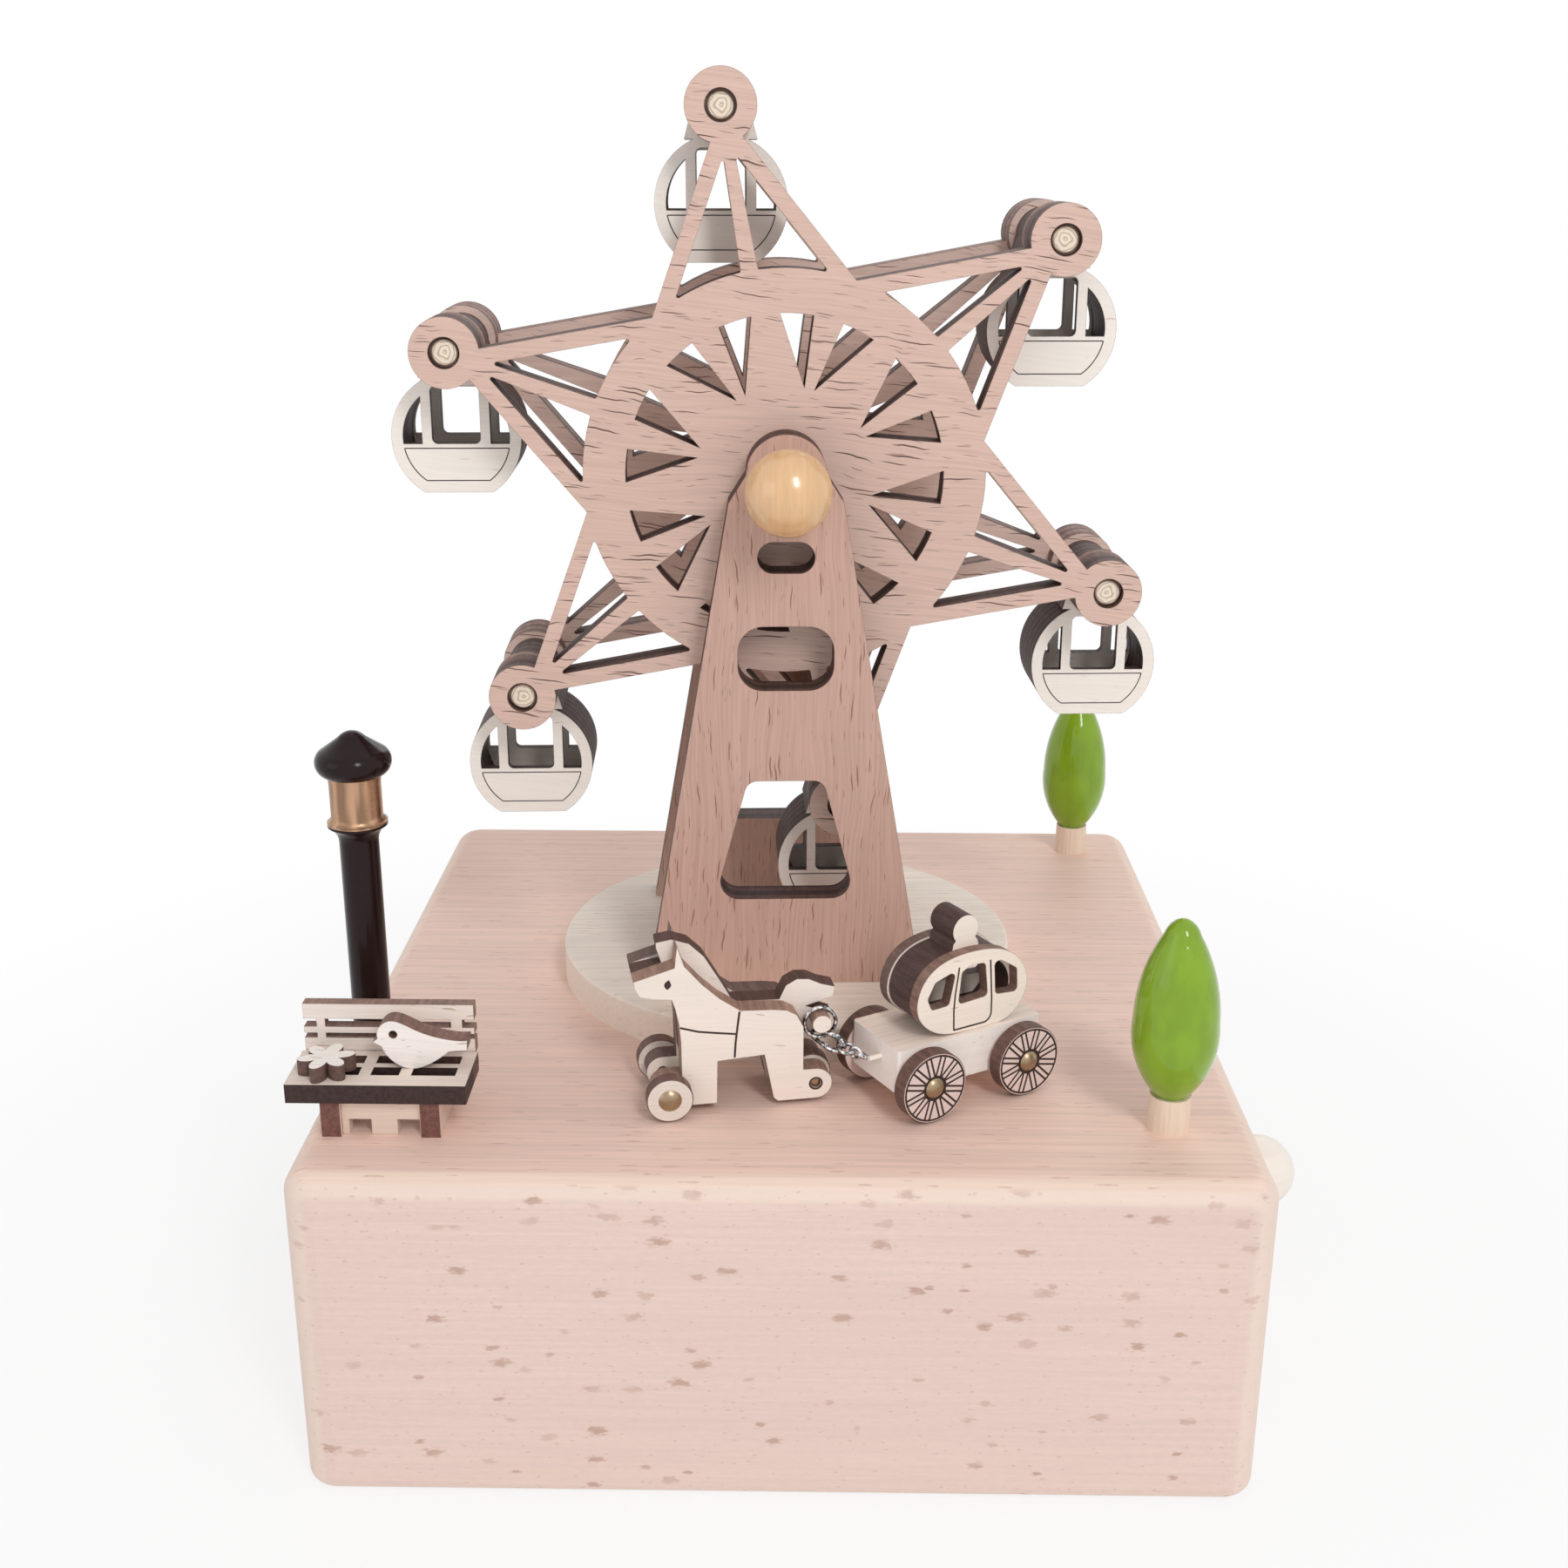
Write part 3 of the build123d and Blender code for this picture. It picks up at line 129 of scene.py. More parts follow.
class Recipe:
    """A material that is being put together."""

    def __init__(self, name):
        self.material = bpy.data.materials.new(name)
        self.material.use_nodes = True
        self.tree = self.material.node_tree
        self.shader = self.tree.nodes["Principled BSDF"]

    def feed(self, socket, value):
        if isinstance(value, bpy.types.NodeSocket):
            self.tree.links.new(value, socket)
        else:
            socket.default_value = value

    def node(self, kind, inputs=None, **settings):
        made = self.tree.nodes.new("ShaderNode" + kind)
        for key, value in settings.items():
            setattr(made, key, value)
        for key, value in (inputs or {}).items():
            self.feed(made.inputs[key], value)
        return made

    def math(self, operation, first, second=0.0):
        return self.node("Math", {0: first, 1: second}, operation=operation).outputs[0]

    def ease(self, value, low, high, to_low=0.0, to_high=1.0):
        """Value from low to high becomes to_low to to_high, and stays there beyond."""
        inputs = {"Value": value, "From Min": low, "From Max": high, "To Min": to_low, "To Max": to_high}
        return self.node("MapRange", inputs, interpolation_type="SMOOTHSTEP").outputs[0]

    def mix(self, share, first, second, how="MIX"):
        made = self.node("Mix", data_type="RGBA", blend_type=how)
        for place, value in ((0, share), (6, first), (7, second)):
            self.feed(made.inputs[place], value)
        return made.outputs[2]

    def noise(self, vector, scale=1.0, detail=2.0, roughness=0.5):
        inputs = {"Vector": vector, "Scale": scale, "Detail": detail, "Roughness": roughness}
        return self.node("TexNoise", inputs).outputs["Fac"]

    def place(self, group=None, grain=0.0, size=(1, 1, 1), shift=(0, 0, 0)):
        """The place on a piece, in a group's millimetres divided by size, with x along the grain."""
        group = group or Matrix.Identity(4)
        turn = group.to_euler().z
        origin = group.to_translation() + Matrix.Rotation(turn, 3, "Z") @ (Vector(shift) * MM)
        inputs = {"Vector": self.node("TexCoord").outputs["Object"], "Location": origin,
                  "Rotation": (0, math.radians(grain), turn), "Scale": [s * MM for s in size]}
        return self.node("Mapping", inputs, vector_type="TEXTURE").outputs[0]

    def split(self, vector):
        return self.node("SeparateXYZ", {0: vector}).outputs

    def join(self, x=0.0, y=0.0, z=0.0):
        return self.node("CombineXYZ", {0: x, 1: y, 2: z}).outputs[0]

    def facing(self, group, axis):
        """How squarely the surface faces along a group's axis, to either side."""
        turn = group.to_euler().z
        normal = self.node("TexCoord").outputs["Normal"]
        inputs = {"Vector": normal, "Rotation": (0, 0, turn)}
        turned = self.node("Mapping", inputs, vector_type="TEXTURE").outputs[0]
        return self.math("ABSOLUTE", self.split(turned)[axis])

    def bands(self, value, stops, how="LINEAR"):
        """A colour for each place from 0 to 1."""
        made = self.node("ValToRGB", {0: value})
        made.color_ramp.interpolation = how
        points = made.color_ramp.elements
        while len(points) < len(stops):
            points.new(1.0)
        for point, (position, colour) in zip(points, stops):
            point.position = position
            point.color = colour
        return made.outputs["Color"]

    def corner(self, radius):
        """1 at a sharp edge of the piece, and 0 from radius millimetres inwards."""
        rounded = self.node("Bevel", {"Radius": radius * MM}, samples=4).outputs[0]
        flat = self.node("NewGeometry").outputs["Normal"]
        alike = self.node("VectorMath", {0: rounded, 1: flat}, operation="DOT_PRODUCT").outputs["Value"]
        return self.ease(alike, 0.995, 0.86)

    def bump(self, height, depth, strength=1.0):
        inputs = {"Height": height, "Distance": depth * MM, "Strength": strength}
        self.feed(self.shader.inputs["Normal"], self.node("Bump", inputs).outputs[0])

    def finish(self, colour=None, roughness=0.5, **sockets):
        """Set the shader's own sockets; a socket's name is written with _ for a space."""
        if colour is not None:
            self.feed(self.shader.inputs["Base Color"], colour)
        self.feed(self.shader.inputs["Roughness"], roughness)
        for key, value in sockets.items():
            self.feed(self.shader.inputs[key.replace("_", " ")], value)
        return self.material


print("a cream face as light:", [round(v, 3) for v in tone(235, 222, 210)[:3]])

# %% [markdown]
# ## Floor, backdrop and lamps
#
# The photograph has a pure white ground with only a breath of shadow. A white sheet lies under the toy; away
# from it, and in the world round it, camera and mirror rays see plain white, so that the sheet has no edge.
# One soft lamp stands in front to the right, where the ball and the trees show it, and a weak one fills in
# from the left.

# %% World
world = bpy.data.worlds.new("studio")
bpy.context.scene.world = world
world.use_nodes = True
sky = world.node_tree
background = sky.nodes["Background"]
seen = sky.nodes.new("ShaderNodeLightPath")
either = sky.nodes.new("ShaderNodeMath")
either.operation = "MAXIMUM"
any_of = sky.nodes.new("ShaderNodeMath")
any_of.operation = "MAXIMUM"
level_of_light = sky.nodes.new("ShaderNodeMapRange")
AMBIENT = 0.62
level_of_light.inputs["To Min"].default_value = AMBIENT
level_of_light.inputs["To Max"].default_value = 1.0
sky.links.new(seen.outputs["Is Camera Ray"], either.inputs[0])
sky.links.new(seen.outputs["Is Glossy Ray"], either.inputs[1])
sky.links.new(either.outputs[0], any_of.inputs[0])
sky.links.new(seen.outputs["Is Transmission Ray"], any_of.inputs[1])
sky.links.new(any_of.outputs[0], level_of_light.inputs["Value"])
sky.links.new(level_of_light.outputs[0], background.inputs["Strength"])
background.inputs["Color"].default_value = (1, 1, 1, 1)
bpy.context.scene.view_settings.view_transform = "Standard"
print("light from all round:", AMBIENT)

# %% Floor


def floor_material():
    recipe = Recipe("white_sheet")
    paths = recipe.node("LightPath").outputs
    shown = recipe.math("MAXIMUM", paths["Is Camera Ray"], paths["Is Glossy Ray"])
    where = recipe.node("TexCoord").outputs["Object"]
    far = recipe.node("VectorMath", {0: where}, operation="LENGTH").outputs["Value"]
    clear = recipe.ease(far, 0.07, 0.2, 0.75, 1.0)
    recipe.finish((0.93, 0.93, 0.93, 1), 0.9, Specular_IOR_Level=0.0)
    glow = recipe.node("Emission", {"Color": (1, 1, 1, 1), "Strength": 1.0}).outputs[0]
    share = recipe.math("MULTIPLY", shown, clear)
    both = recipe.node("MixShader", {0: share, 1: recipe.shader.outputs[0], 2: glow}).outputs[0]
    recipe.tree.links.new(both, recipe.tree.nodes["Material Output"].inputs["Surface"])
    return recipe.material


floor_mesh = bpy.data.meshes.new("floor")
floor_mesh.from_pydata([(-3, -3, 0), (3, -3, 0), (3, 3, 0), (-3, 3, 0)], [], [(0, 1, 2, 3)])
floor = bpy.data.objects.new("floor", floor_mesh)
bpy.context.scene.collection.objects.link(floor)
floor_mesh.materials.append(floor_material())
print("floor", floor.dimensions.x, "m wide")

# %% Lamps


def lamp(name, place, target, size, power):
    """A rectangular soft lamp at a place in metres that looks at a target."""
    data = bpy.data.lights.new(name, "AREA")
    data.shape = "RECTANGLE"
    data.size, data.size_y = size
    data.energy = power
    made = bpy.data.objects.new(name, data)
    made.location = place
    made.rotation_euler = (Vector(target) - Vector(place)).to_track_quat("-Z", "Y").to_euler()
    bpy.context.scene.collection.objects.link(made)
    return made


middle = (0, 0, 0.08)
lamp("key", (0.28, -0.62, 0.62), middle, (0.16, 0.34), 2.3)
lamp("fill", (-0.7, -0.5, 0.35), middle, (0.5, 0.5), 0.5)
lamp("back_fill", (0.2, 0.8, 0.6), middle, (0.5, 0.5), 0.9)
print("three lamps")

# %% [markdown]
# ## Plywood
#
# All the flat pieces are birch or beech ply. Three things make it look like ply: a pale face with fine grain
# and many short dark pores that all run one way, a scorched brown cut edge that shows the layers, and a
# hair-thin burnt outline where the two meet. The pores come from stretched cells, of which only some hold a
# dash, so that they are scattered as in wood and not printed in rows.

# %% Pores and grain


def dashes(recipe, x, z, cell, share, size=0.17, ragged=None):
    """Short pores along x, one in a few of the stretched cells; ragged is a noise for their edges."""
    across = recipe.math("DIVIDE", x, cell[0])
    up = recipe.math("DIVIDE", z, cell[1])
    cells = recipe.node("TexVoronoi", {"Vector": recipe.join(across, up), "Scale": 1.0},
                        voronoi_dimensions="2D")
    pick = recipe.split(cells.outputs["Color"])[2]
    chosen = recipe.math("LESS_THAN", pick, share)
    varied = recipe.ease(recipe.split(cells.outputs["Color"])[1], 0, 1, 0.6, 1.3)
    spread = recipe.math("MULTIPLY", varied, size)
    near = recipe.math("DIVIDE", cells.outputs["Distance"], spread)
    if ragged:
        near = recipe.math("ADD", near, recipe.ease(ragged, 0.3, 0.7, -0.3, 0.3))
    dash = recipe.ease(near, 1.0, 0.3 if ragged else 0.55)
    return recipe.math("MULTIPLY", dash, chosen)


def wavy(recipe, group, grain, amount=0.9):
    """The place on a plate, x along the grain and z across it, with waves of so many millimetres."""
    x, y, z = recipe.split(recipe.place(group, grain))
    bend = recipe.noise(recipe.place(group, grain, (22, 30, 9)), 1.0, 1.0)
    z = recipe.math("ADD", z, recipe.ease(bend, 0.2, 0.8, -amount, amount))
    return x, y, z


def streaks(recipe, x, y, z, length, width):
    """Fine grain lines."""
    vector = recipe.join(recipe.math("DIVIDE", x, length), recipe.math("DIVIDE", y, 3.0),
                         recipe.math("DIVIDE", z, width))
    return recipe.noise(vector, 1.0, 3.0, 0.6)


def plywood(name, face, edge, group, grain=0.0, axis=1, pores=(0.34, (8.0, 0.6)), pore=(118, 82, 66),
            depth=(0, 4), outline=0.13, streak=0.05, panel=None):
    """Ply whose faces look along an axis of its group. Edge is a list of (share of depth, colour).

    Panel is a stretch of x whose front is a pale face too."""
    recipe = Recipe(name)
    x, y, z = wavy(recipe, group, grain)
    if axis == 2:
        y, z = z, y
    fine = streaks(recipe, x, y, z, 14.0, 0.28)
    broad = recipe.noise(recipe.place(group, grain, (45, 20, 7)), 1.0, 2.0)
    pale = tuple(v * (1 + streak) for v in tone(*face)[:3]) + (1,)
    deep = tuple(v * (1 - 2.2 * streak) for v in tone(*face)[:3]) + (1,)
    wood = recipe.mix(recipe.ease(fine, 0.3, 0.7), deep, pale)
    wood = recipe.mix(recipe.ease(broad, 0.35, 0.7, 0.0, 0.22), wood, tone(*[v * 0.93 for v in face]))
    share, cell = pores
    ripple = recipe.noise(recipe.place(group, grain, (2.6, 9, 5)), 1.0, 1.0)
    z = recipe.math("ADD", z, recipe.ease(ripple, 0.2, 0.8, -0.15, 0.15))
    dark = dashes(recipe, x, z, cell, share)
    short = dashes(recipe, x, z, (cell[0] * 0.45, cell[1] * 0.8), share * 1.1, 0.15)
    marks = recipe.math("MAXIMUM", dark, recipe.math("MULTIPLY", short, 0.55))
    wood = recipe.mix(recipe.math("MULTIPLY", marks, 0.85), wood, tone(*pore))
    if outline:
        burnt = recipe.corner(outline)
        wood = recipe.mix(recipe.math("MULTIPLY", burnt, 0.85), wood, tone(96, 70, 62))
    cut = scorched(recipe, group, edge, depth)
    flat = recipe.math("GREATER_THAN", recipe.facing(group, axis), 0.9)
    if panel:
        local_x = recipe.split(recipe.place(group))[0]
        inside = recipe.math("MULTIPLY", recipe.math("GREATER_THAN", local_x, panel[0]),
                             recipe.math("LESS_THAN", local_x, panel[1]))
        ahead_of = recipe.math("GREATER_THAN", recipe.facing(group, 1), 0.9)
        flat = recipe.math("MAXIMUM", flat, recipe.math("MULTIPLY", inside, ahead_of))
    recipe.bump(recipe.math("SUBTRACT", recipe.math("MULTIPLY", fine, 0.25), marks), 0.03, 0.6)
    return recipe.finish(recipe.mix(flat, cut, wood), 0.62, Specular_IOR_Level=0.3)


def scorched(recipe, group, edge, depth):
    """The brown of a hot cut, which runs in streaks through the thickness, layer by layer."""
    local = recipe.split(recipe.place(group))
    through = recipe.math("DIVIDE", recipe.math("SUBTRACT", local[1], depth[0]), depth[1] - depth[0])
    layers = recipe.bands(through, [(p, tone(*c)) for p, c in edge], "CONSTANT")
    soot = recipe.noise(recipe.place(group, 0, (0.7, 5.0, 0.7)), 1.0, 3.0, 0.65)
    speckle = recipe.noise(recipe.place(group, 0, (0.35, 0.35, 0.35)), 1.0, 2.0)
    shade = recipe.math("MULTIPLY", recipe.ease(soot, 0.25, 0.75, 0.72, 1.25),
                        recipe.ease(speckle, 0.3, 0.7, 0.9, 1.1))
    grey = recipe.join(shade, shade, shade)
    return recipe.mix(1.0, layers, grey, "MULTIPLY")


print("plywood recipe ready")

# %% [markdown]
# ## The woods of the tower, wheel and gondolas
#
# The wheel's plates are a pinkish ply whose grain lies level and falls a little to the right. The rear plate
# takes a paler copy of the same ply, whose much lighter cut edges are painted light. The legs are the same
# ply with its grain upright and darker. The gondolas are whiter, with dark scorched shells.

# %% Tower, wheel and gondola wood


def layered(light, dark, count):
    """Edge colours of a ply of so many layers, light and dark in turn."""
    return [(k / count, light if k % 2 == 0 else dark) for k in range(count)]


wheel_wood = plywood("wheel_ply", (224, 192, 178), layered((104, 78, 70), (72, 51, 47), 30), tower_group,
                     grain=6.0, depth=(-20, 20), pores=(0.4, (14.0, 0.5)), pore=(78, 48, 42))
# painted light: the rear plate's copy of the ply has a paler face and cut edges made much lighter, as if lit
rear_ply_painted_light = plywood("rear_wheel_ply_painted_light", (232, 204, 192), layered((156, 124, 114), (118, 90, 82), 30),
                    tower_group, grain=6.0, depth=(-20, 20), pores=(0.4, (14.0, 0.5)), pore=(110, 78, 68))
leg_wood = plywood("leg_ply", (208, 171, 156), layered((96, 70, 63), (66, 48, 45), 30), tower_group,
                   grain=90.0, depth=(-20, 20), pores=(0.3, (9.0, 0.5)), pore=(140, 100, 84), streak=0.06)
gondola_wood = plywood("gondola_ply", (255, 246, 237), layered((96, 75, 69), (72, 55, 51), 12), tower_group,
                       grain=4.0, depth=(-6, 6), pores=(0.03, (5.0, 0.4)), pore=(226, 205, 190),
                       streak=0.015)
print([m.name for m in (wheel_wood, rear_ply_painted_light, leg_wood, gondola_wood)])

# %% [markdown]
# ## The woods of the small figures
#
# The horse is three layers glued up, and each layer's edge has its own brown. The carriage's cabin is two
# plates on a darker core. The bench, the bird and the flower are cream with almost black front edges.

# %% Horse, carriage and bench wood
horse_edges = [(0.0, (160, 128, 112)), (0.334, (92, 68, 62)), (0.667, (116, 94, 88))]
horse_wood = plywood("horse_ply", (249, 236, 226), horse_edges, horse_group, grain=2.0,
                     depth=(0, HORSE_DEPTH), pores=(0.04, (4.0, 0.4)), pore=(205, 178, 160),
                     outline=0.1, streak=0.015)
cabin_edges = [(0.0, (140, 110, 98)), (0.19, (84, 64, 61)), (0.81, (116, 92, 85))]
cabin_wood = plywood("cabin_ply", (252, 238, 226), cabin_edges, carriage_group, grain=-3.0,
                     depth=(CABIN_NEAR, CABIN_FAR), pores=(0.04, (4.0, 0.4)),
                     pore=(205, 178, 160), outline=0.16, streak=0.02)
bench_edges = [(0.0, (62, 46, 44)), (0.5, (104, 80, 72))]


def bench_ply(name, face, axis, edges=bench_edges, depth=(0, 10), panel=None):
    return plywood(name, face, edges, bench_group, axis=axis, depth=depth, pores=(0.08, (5.0, 0.5)),
                   pore=(196, 166, 148), streak=0.03, panel=panel)


seat_wood = bench_ply("seat_ply", (240, 224, 212), 2)
back_wood = bench_ply("backrest_ply", (250, 236, 226), 1, [(0.0, (150, 122, 110)), (0.5, (150, 122, 110))])
leg_ply = bench_ply("bench_leg_ply", (232, 212, 198), 0, [(0.0, (120, 82, 74)), (0.5, (120, 82, 74))],
                    panel=(-4.25, 4.75))
bird_wood = bench_ply("bird_ply", (255, 246, 240), 1, [(0.0, (136, 106, 96)), (0.5, (136, 106, 96))])
flower_wood = bench_ply("flower_ply", (255, 246, 240), 2, [(0.0, (104, 80, 72)), (0.5, (104, 80, 72))])
print([m.name for m in (horse_wood, cabin_wood, seat_wood, back_wood, leg_ply, bird_wood, flower_wood)])

# %% [markdown]
# ## The beech block, the plinth and the chassis
#
# The block is one piece of solid beech, pale pink, with its grain running from side to side. Beech shows
# small brown ray flecks on the front and fine streaks on top. The plinth and the carriage's chassis are
# solid too, so they have no burnt edges.

# %% Solid beech


def beech(name, colour, group, fleck, grain_width=0.6, flecks=0.3, top=None, streak=0.05,
          rim=None):
    """Solid beech with its grain along the group's x axis; rim is a paler tone painted on its rounded edges
    as a highlight.
    """
    recipe = Recipe(name)
    x, y, z = recipe.split(recipe.place(group))
    fine = recipe.noise(recipe.place(group, 0, (26, grain_width, grain_width)), 1.0, 3.0, 0.6)
    grit = recipe.noise(recipe.place(group, 0, (1.3, 0.5, 0.5)), 1.0, 3.0, 0.7)
    broad = recipe.noise(recipe.place(group, 0, (70, 12, 12)), 1.0, 2.0)
    pale = tuple(v * (1 + streak) for v in tone(*colour)[:3]) + (1,)
    deep = tuple(v * (1 - 2 * streak) for v in tone(*colour)[:3]) + (1,)
    wood = recipe.mix(recipe.ease(fine, 0.2, 0.8), deep, pale)
    wood = recipe.mix(recipe.ease(grit, 0.35, 0.75, 0.0, 0.12), wood, tone(*[v * 0.8 for v in colour]))
    wood = recipe.mix(recipe.ease(broad, 0.35, 0.7, 0.0, 0.3), wood, tone(*[v * 0.95 for v in colour]))
    front = recipe.ease(recipe.facing(group, 1), 0.6, 0.8)
    upper = recipe.ease(recipe.facing(group, 2), 0.6, 0.8)
    rough = recipe.noise(recipe.place(group, 0, (0.9, 0.9, 0.35)), 1.0, 2.0)
    rays = dashes(recipe, x, z, (6.2, 3.1), flecks, 0.2, rough)
    specks = dashes(recipe, x, z, (1.9, 1.0), 0.4, 0.14, rough)
    faint = recipe.noise(recipe.place(group, 0, (9, 9, 5)), 1.0, 1.0)
    rays = recipe.math("MULTIPLY", rays, recipe.ease(faint, 0.35, 0.65, 0.45, 1.0))
    marks = recipe.math("MAXIMUM", rays, recipe.math("MULTIPLY", specks, 0.4))
    marks = recipe.math("MULTIPLY", marks, front)
    pores = dashes(recipe, x, y, (8.0, 0.75), 0.45, 0.17, rough)
    pores = recipe.math("MULTIPLY", pores, upper)
    if top:
        top_wood = recipe.mix(recipe.ease(fine, 0.3, 0.7), tone(*[v * 0.94 for v in top]), tone(*top))
        wood = recipe.mix(upper, wood, top_wood)
    # painted highlight: faces square to no axis (the rounded edges) are lightened towards the rim tone
    if rim:
        square = recipe.math("MAXIMUM", recipe.facing(group, 1), recipe.facing(group, 2))
        square = recipe.math("MAXIMUM", square, recipe.facing(group, 0))
        wood = recipe.mix(recipe.ease(square, 0.995, 0.9, 0.0, 0.42), wood, tone(*rim))
    marks = recipe.math("MAXIMUM", marks, recipe.math("MULTIPLY", pores, 0.6))
    wood = recipe.mix(recipe.math("MULTIPLY", marks, 0.66), wood, tone(*fleck))
    recipe.bump(recipe.math("SUBTRACT", recipe.math("MULTIPLY", fine, 0.3), marks), 0.03, 0.5)
    return recipe.finish(wood, 0.55, Specular_IOR_Level=0.35)


# the block's rim tone is a painted highlight on its rounded edges
base_wood = beech("base_beech", (239, 213, 203), block_group, (184, 142, 122), top=(247, 214, 199),
                  flecks=0.42, streak=0.025, rim=(250, 232, 214))
plinth_wood = beech("plinth_beech", (255, 242, 228), group_at(0, 2, 0, 2.8), (190, 160, 144), flecks=0.0,
                    top=(252, 238, 224), streak=0.03)
chassis_wood = beech("chassis_beech", (255, 246, 240), carriage_group, (200, 168, 152), flecks=0.0,
                     top=(255, 236, 222), streak=0.02)
print([m.name for m in (base_wood, plinth_wood, chassis_wood)])

# %% [markdown]
# ## Turned wood
#
# Balls, dowels and trunks come off a lathe. Each turned piece has its own origin on its axis, so the growth
# rings on a dowel's end come straight from the distance to that axis.

# %% Turned wood


def dowel(name, side, end, ring, ring_size=0.55):
    """A dowel's wood: fine grain along z and growth rings on the ends."""
    recipe = Recipe(name)
    x, y, z = recipe.split(recipe.place())
    around = recipe.join(x, y)
    radius = recipe.node("VectorMath", {0: around}, operation="LENGTH").outputs["Value"]
    drift = recipe.noise(recipe.place(size=(1.6, 1.6, 1.6)), 1.0, 1.0)
    radius = recipe.math("ADD", radius, recipe.ease(drift, 0.2, 0.8, -0.25, 0.25))
    wave = recipe.math("SINE", recipe.math("MULTIPLY", radius, 2 * math.pi / ring_size))
    rings = recipe.ease(wave, 0.2, 1.0)
    grain = recipe.noise(recipe.place(size=(0.35, 0.35, 12)), 1.0, 3.0, 0.6)
    long_side = recipe.mix(recipe.ease(grain, 0.3, 0.7), tone(*[v * 0.94 for v in side]), tone(*side))
    cut_end = recipe.mix(recipe.math("MULTIPLY", rings, 0.6), tone(*end), tone(*ring))
    facing_up = recipe.split(recipe.node("TexCoord").outputs["Normal"])[2]
    at_end = recipe.math("GREATER_THAN", recipe.math("ABSOLUTE", facing_up), 0.8)
    recipe.bump(grain, 0.02, 0.4)
    return recipe.finish(recipe.mix(at_end, long_side, cut_end), 0.6, Specular_IOR_Level=0.3)


def ball_wood(name, colour, roughness, gloss, figure=0.95):
    """A sanded and waxed wooden ball with faint grain."""
    recipe = Recipe(name)
    grain = recipe.noise(recipe.place(size=(0.5, 6.0, 9.0)), 1.0, 3.0, 0.6)
    spots = recipe.noise(recipe.place(size=(0.3, 0.3, 1.2)), 1.0, 1.0)
    wood = recipe.mix(recipe.ease(grain, 0.3, 0.7), tone(*[v * figure for v in colour]), tone(*colour))
    spotted = recipe.ease(spots, 0.66, 0.76, 0, 2 * (1 - figure))
    wood = recipe.mix(spotted, wood, tone(*[v * 0.78 for v in colour]))
    recipe.bump(grain, 0.008, 0.3)
    return recipe.finish(wood, roughness, Specular_IOR_Level=0.4, Coat_Weight=gloss, Coat_Roughness=0.2,
                         Coat_IOR=1.75)


dowel_wood = dowel("dowel_wood", (214, 186, 166), (250, 236, 216), (176, 136, 108))
trunk_wood = dowel("trunk_wood", (246, 224, 202), (226, 208, 186), (190, 160, 135))
knob_wood = ball_wood("knob_wood", (234, 186, 132), 0.5, 1.0)
crank_ball_wood = ball_wood("crank_ball_wood", (252, 243, 233), 0.5, 0.2, 0.985)
print([m.name for m in (dowel_wood, trunk_wood, knob_wood, crank_ball_wood)])

# %% [markdown]
# ## Lacquers, metals and the rest
#
# The trees have thick lime green lacquer and the lamp thick brown-black lacquer, so both show the lamp in
# the studio as a bright strip. The metals differ in colour, in how rough they are and in the fine marks that
# turning, casting or drawing left on them.

# %% Lacquers


def lacquer(name, colour, roughness, level, coat, ripple=0.012):
    recipe = Recipe(name)
    swell = recipe.noise(recipe.place(size=(2.5, 2.5, 5.0)), 1.0, 2.0)
    dust = recipe.noise(recipe.place(size=(0.4, 0.4, 0.4)), 1.0, 2.0)
    paint = recipe.mix(recipe.ease(swell, 0.35, 0.65), tone(*[v * 0.94 for v in colour]), tone(*colour))
    recipe.bump(swell, ripple, 0.5)
    rough = recipe.ease(dust, 0.4, 0.7, roughness, roughness * 1.2)
    return recipe.finish(paint, rough, Specular_IOR_Level=level, Coat_Weight=coat, Coat_Roughness=0.05,
                         Coat_IOR=1.45)


green_lacquer = lacquer("green_lacquer", (136, 174, 32), 0.3, 0.05, 1.0)
black_lacquer = lacquer("black_lacquer", (36, 20, 20), 0.16, 0.2, 0.0)
print(green_lacquer.name, black_lacquer.name)

# %% Metals, plastic and rubber


def metal(name, colour, roughness, marks=(1, 1, 1), depth=0.01, tone_and_reflection_patch=(3, 3, 3), deep=0.92):
    """A metal with fine marks and cloudy patches of the given sizes in millimetres; on the ring's steel and
    the lantern's brass the patches are painted reflections.
    """
    recipe = Recipe(name)
    lines = recipe.noise(recipe.place(size=marks), 1.0, 3.0, 0.6)
    cloud = recipe.noise(recipe.place(size=tone_and_reflection_patch), 1.0, 2.0)
    # patches darken towards deep; where deep is low they are painted reflections, elsewhere a mild tone
    # variation
    shade = recipe.mix(recipe.ease(cloud, 0.35, 0.65), tone(*[v * deep for v in colour]), tone(*colour))
    rough = recipe.ease(lines, 0.3, 0.7, roughness * 0.8, roughness * 1.25)
    recipe.bump(lines, depth, 0.4)
    return recipe.finish(shade, rough, Metallic=1.0)


def moulded(name, colour, roughness):
    recipe = Recipe(name)
    speck = recipe.noise(recipe.place(size=(0.3, 0.3, 0.3)), 1.0, 2.0)
    cloud = recipe.noise(recipe.place(size=(4, 4, 4)), 1.0, 2.0)
    shade = recipe.mix(recipe.ease(cloud, 0.3, 0.7), tone(*[v * 0.94 for v in colour]), tone(*colour))
    recipe.bump(speck, 0.02, 0.4)
    return recipe.finish(shade, recipe.ease(speck, 0.3, 0.7, roughness * 0.9, roughness * 1.1))


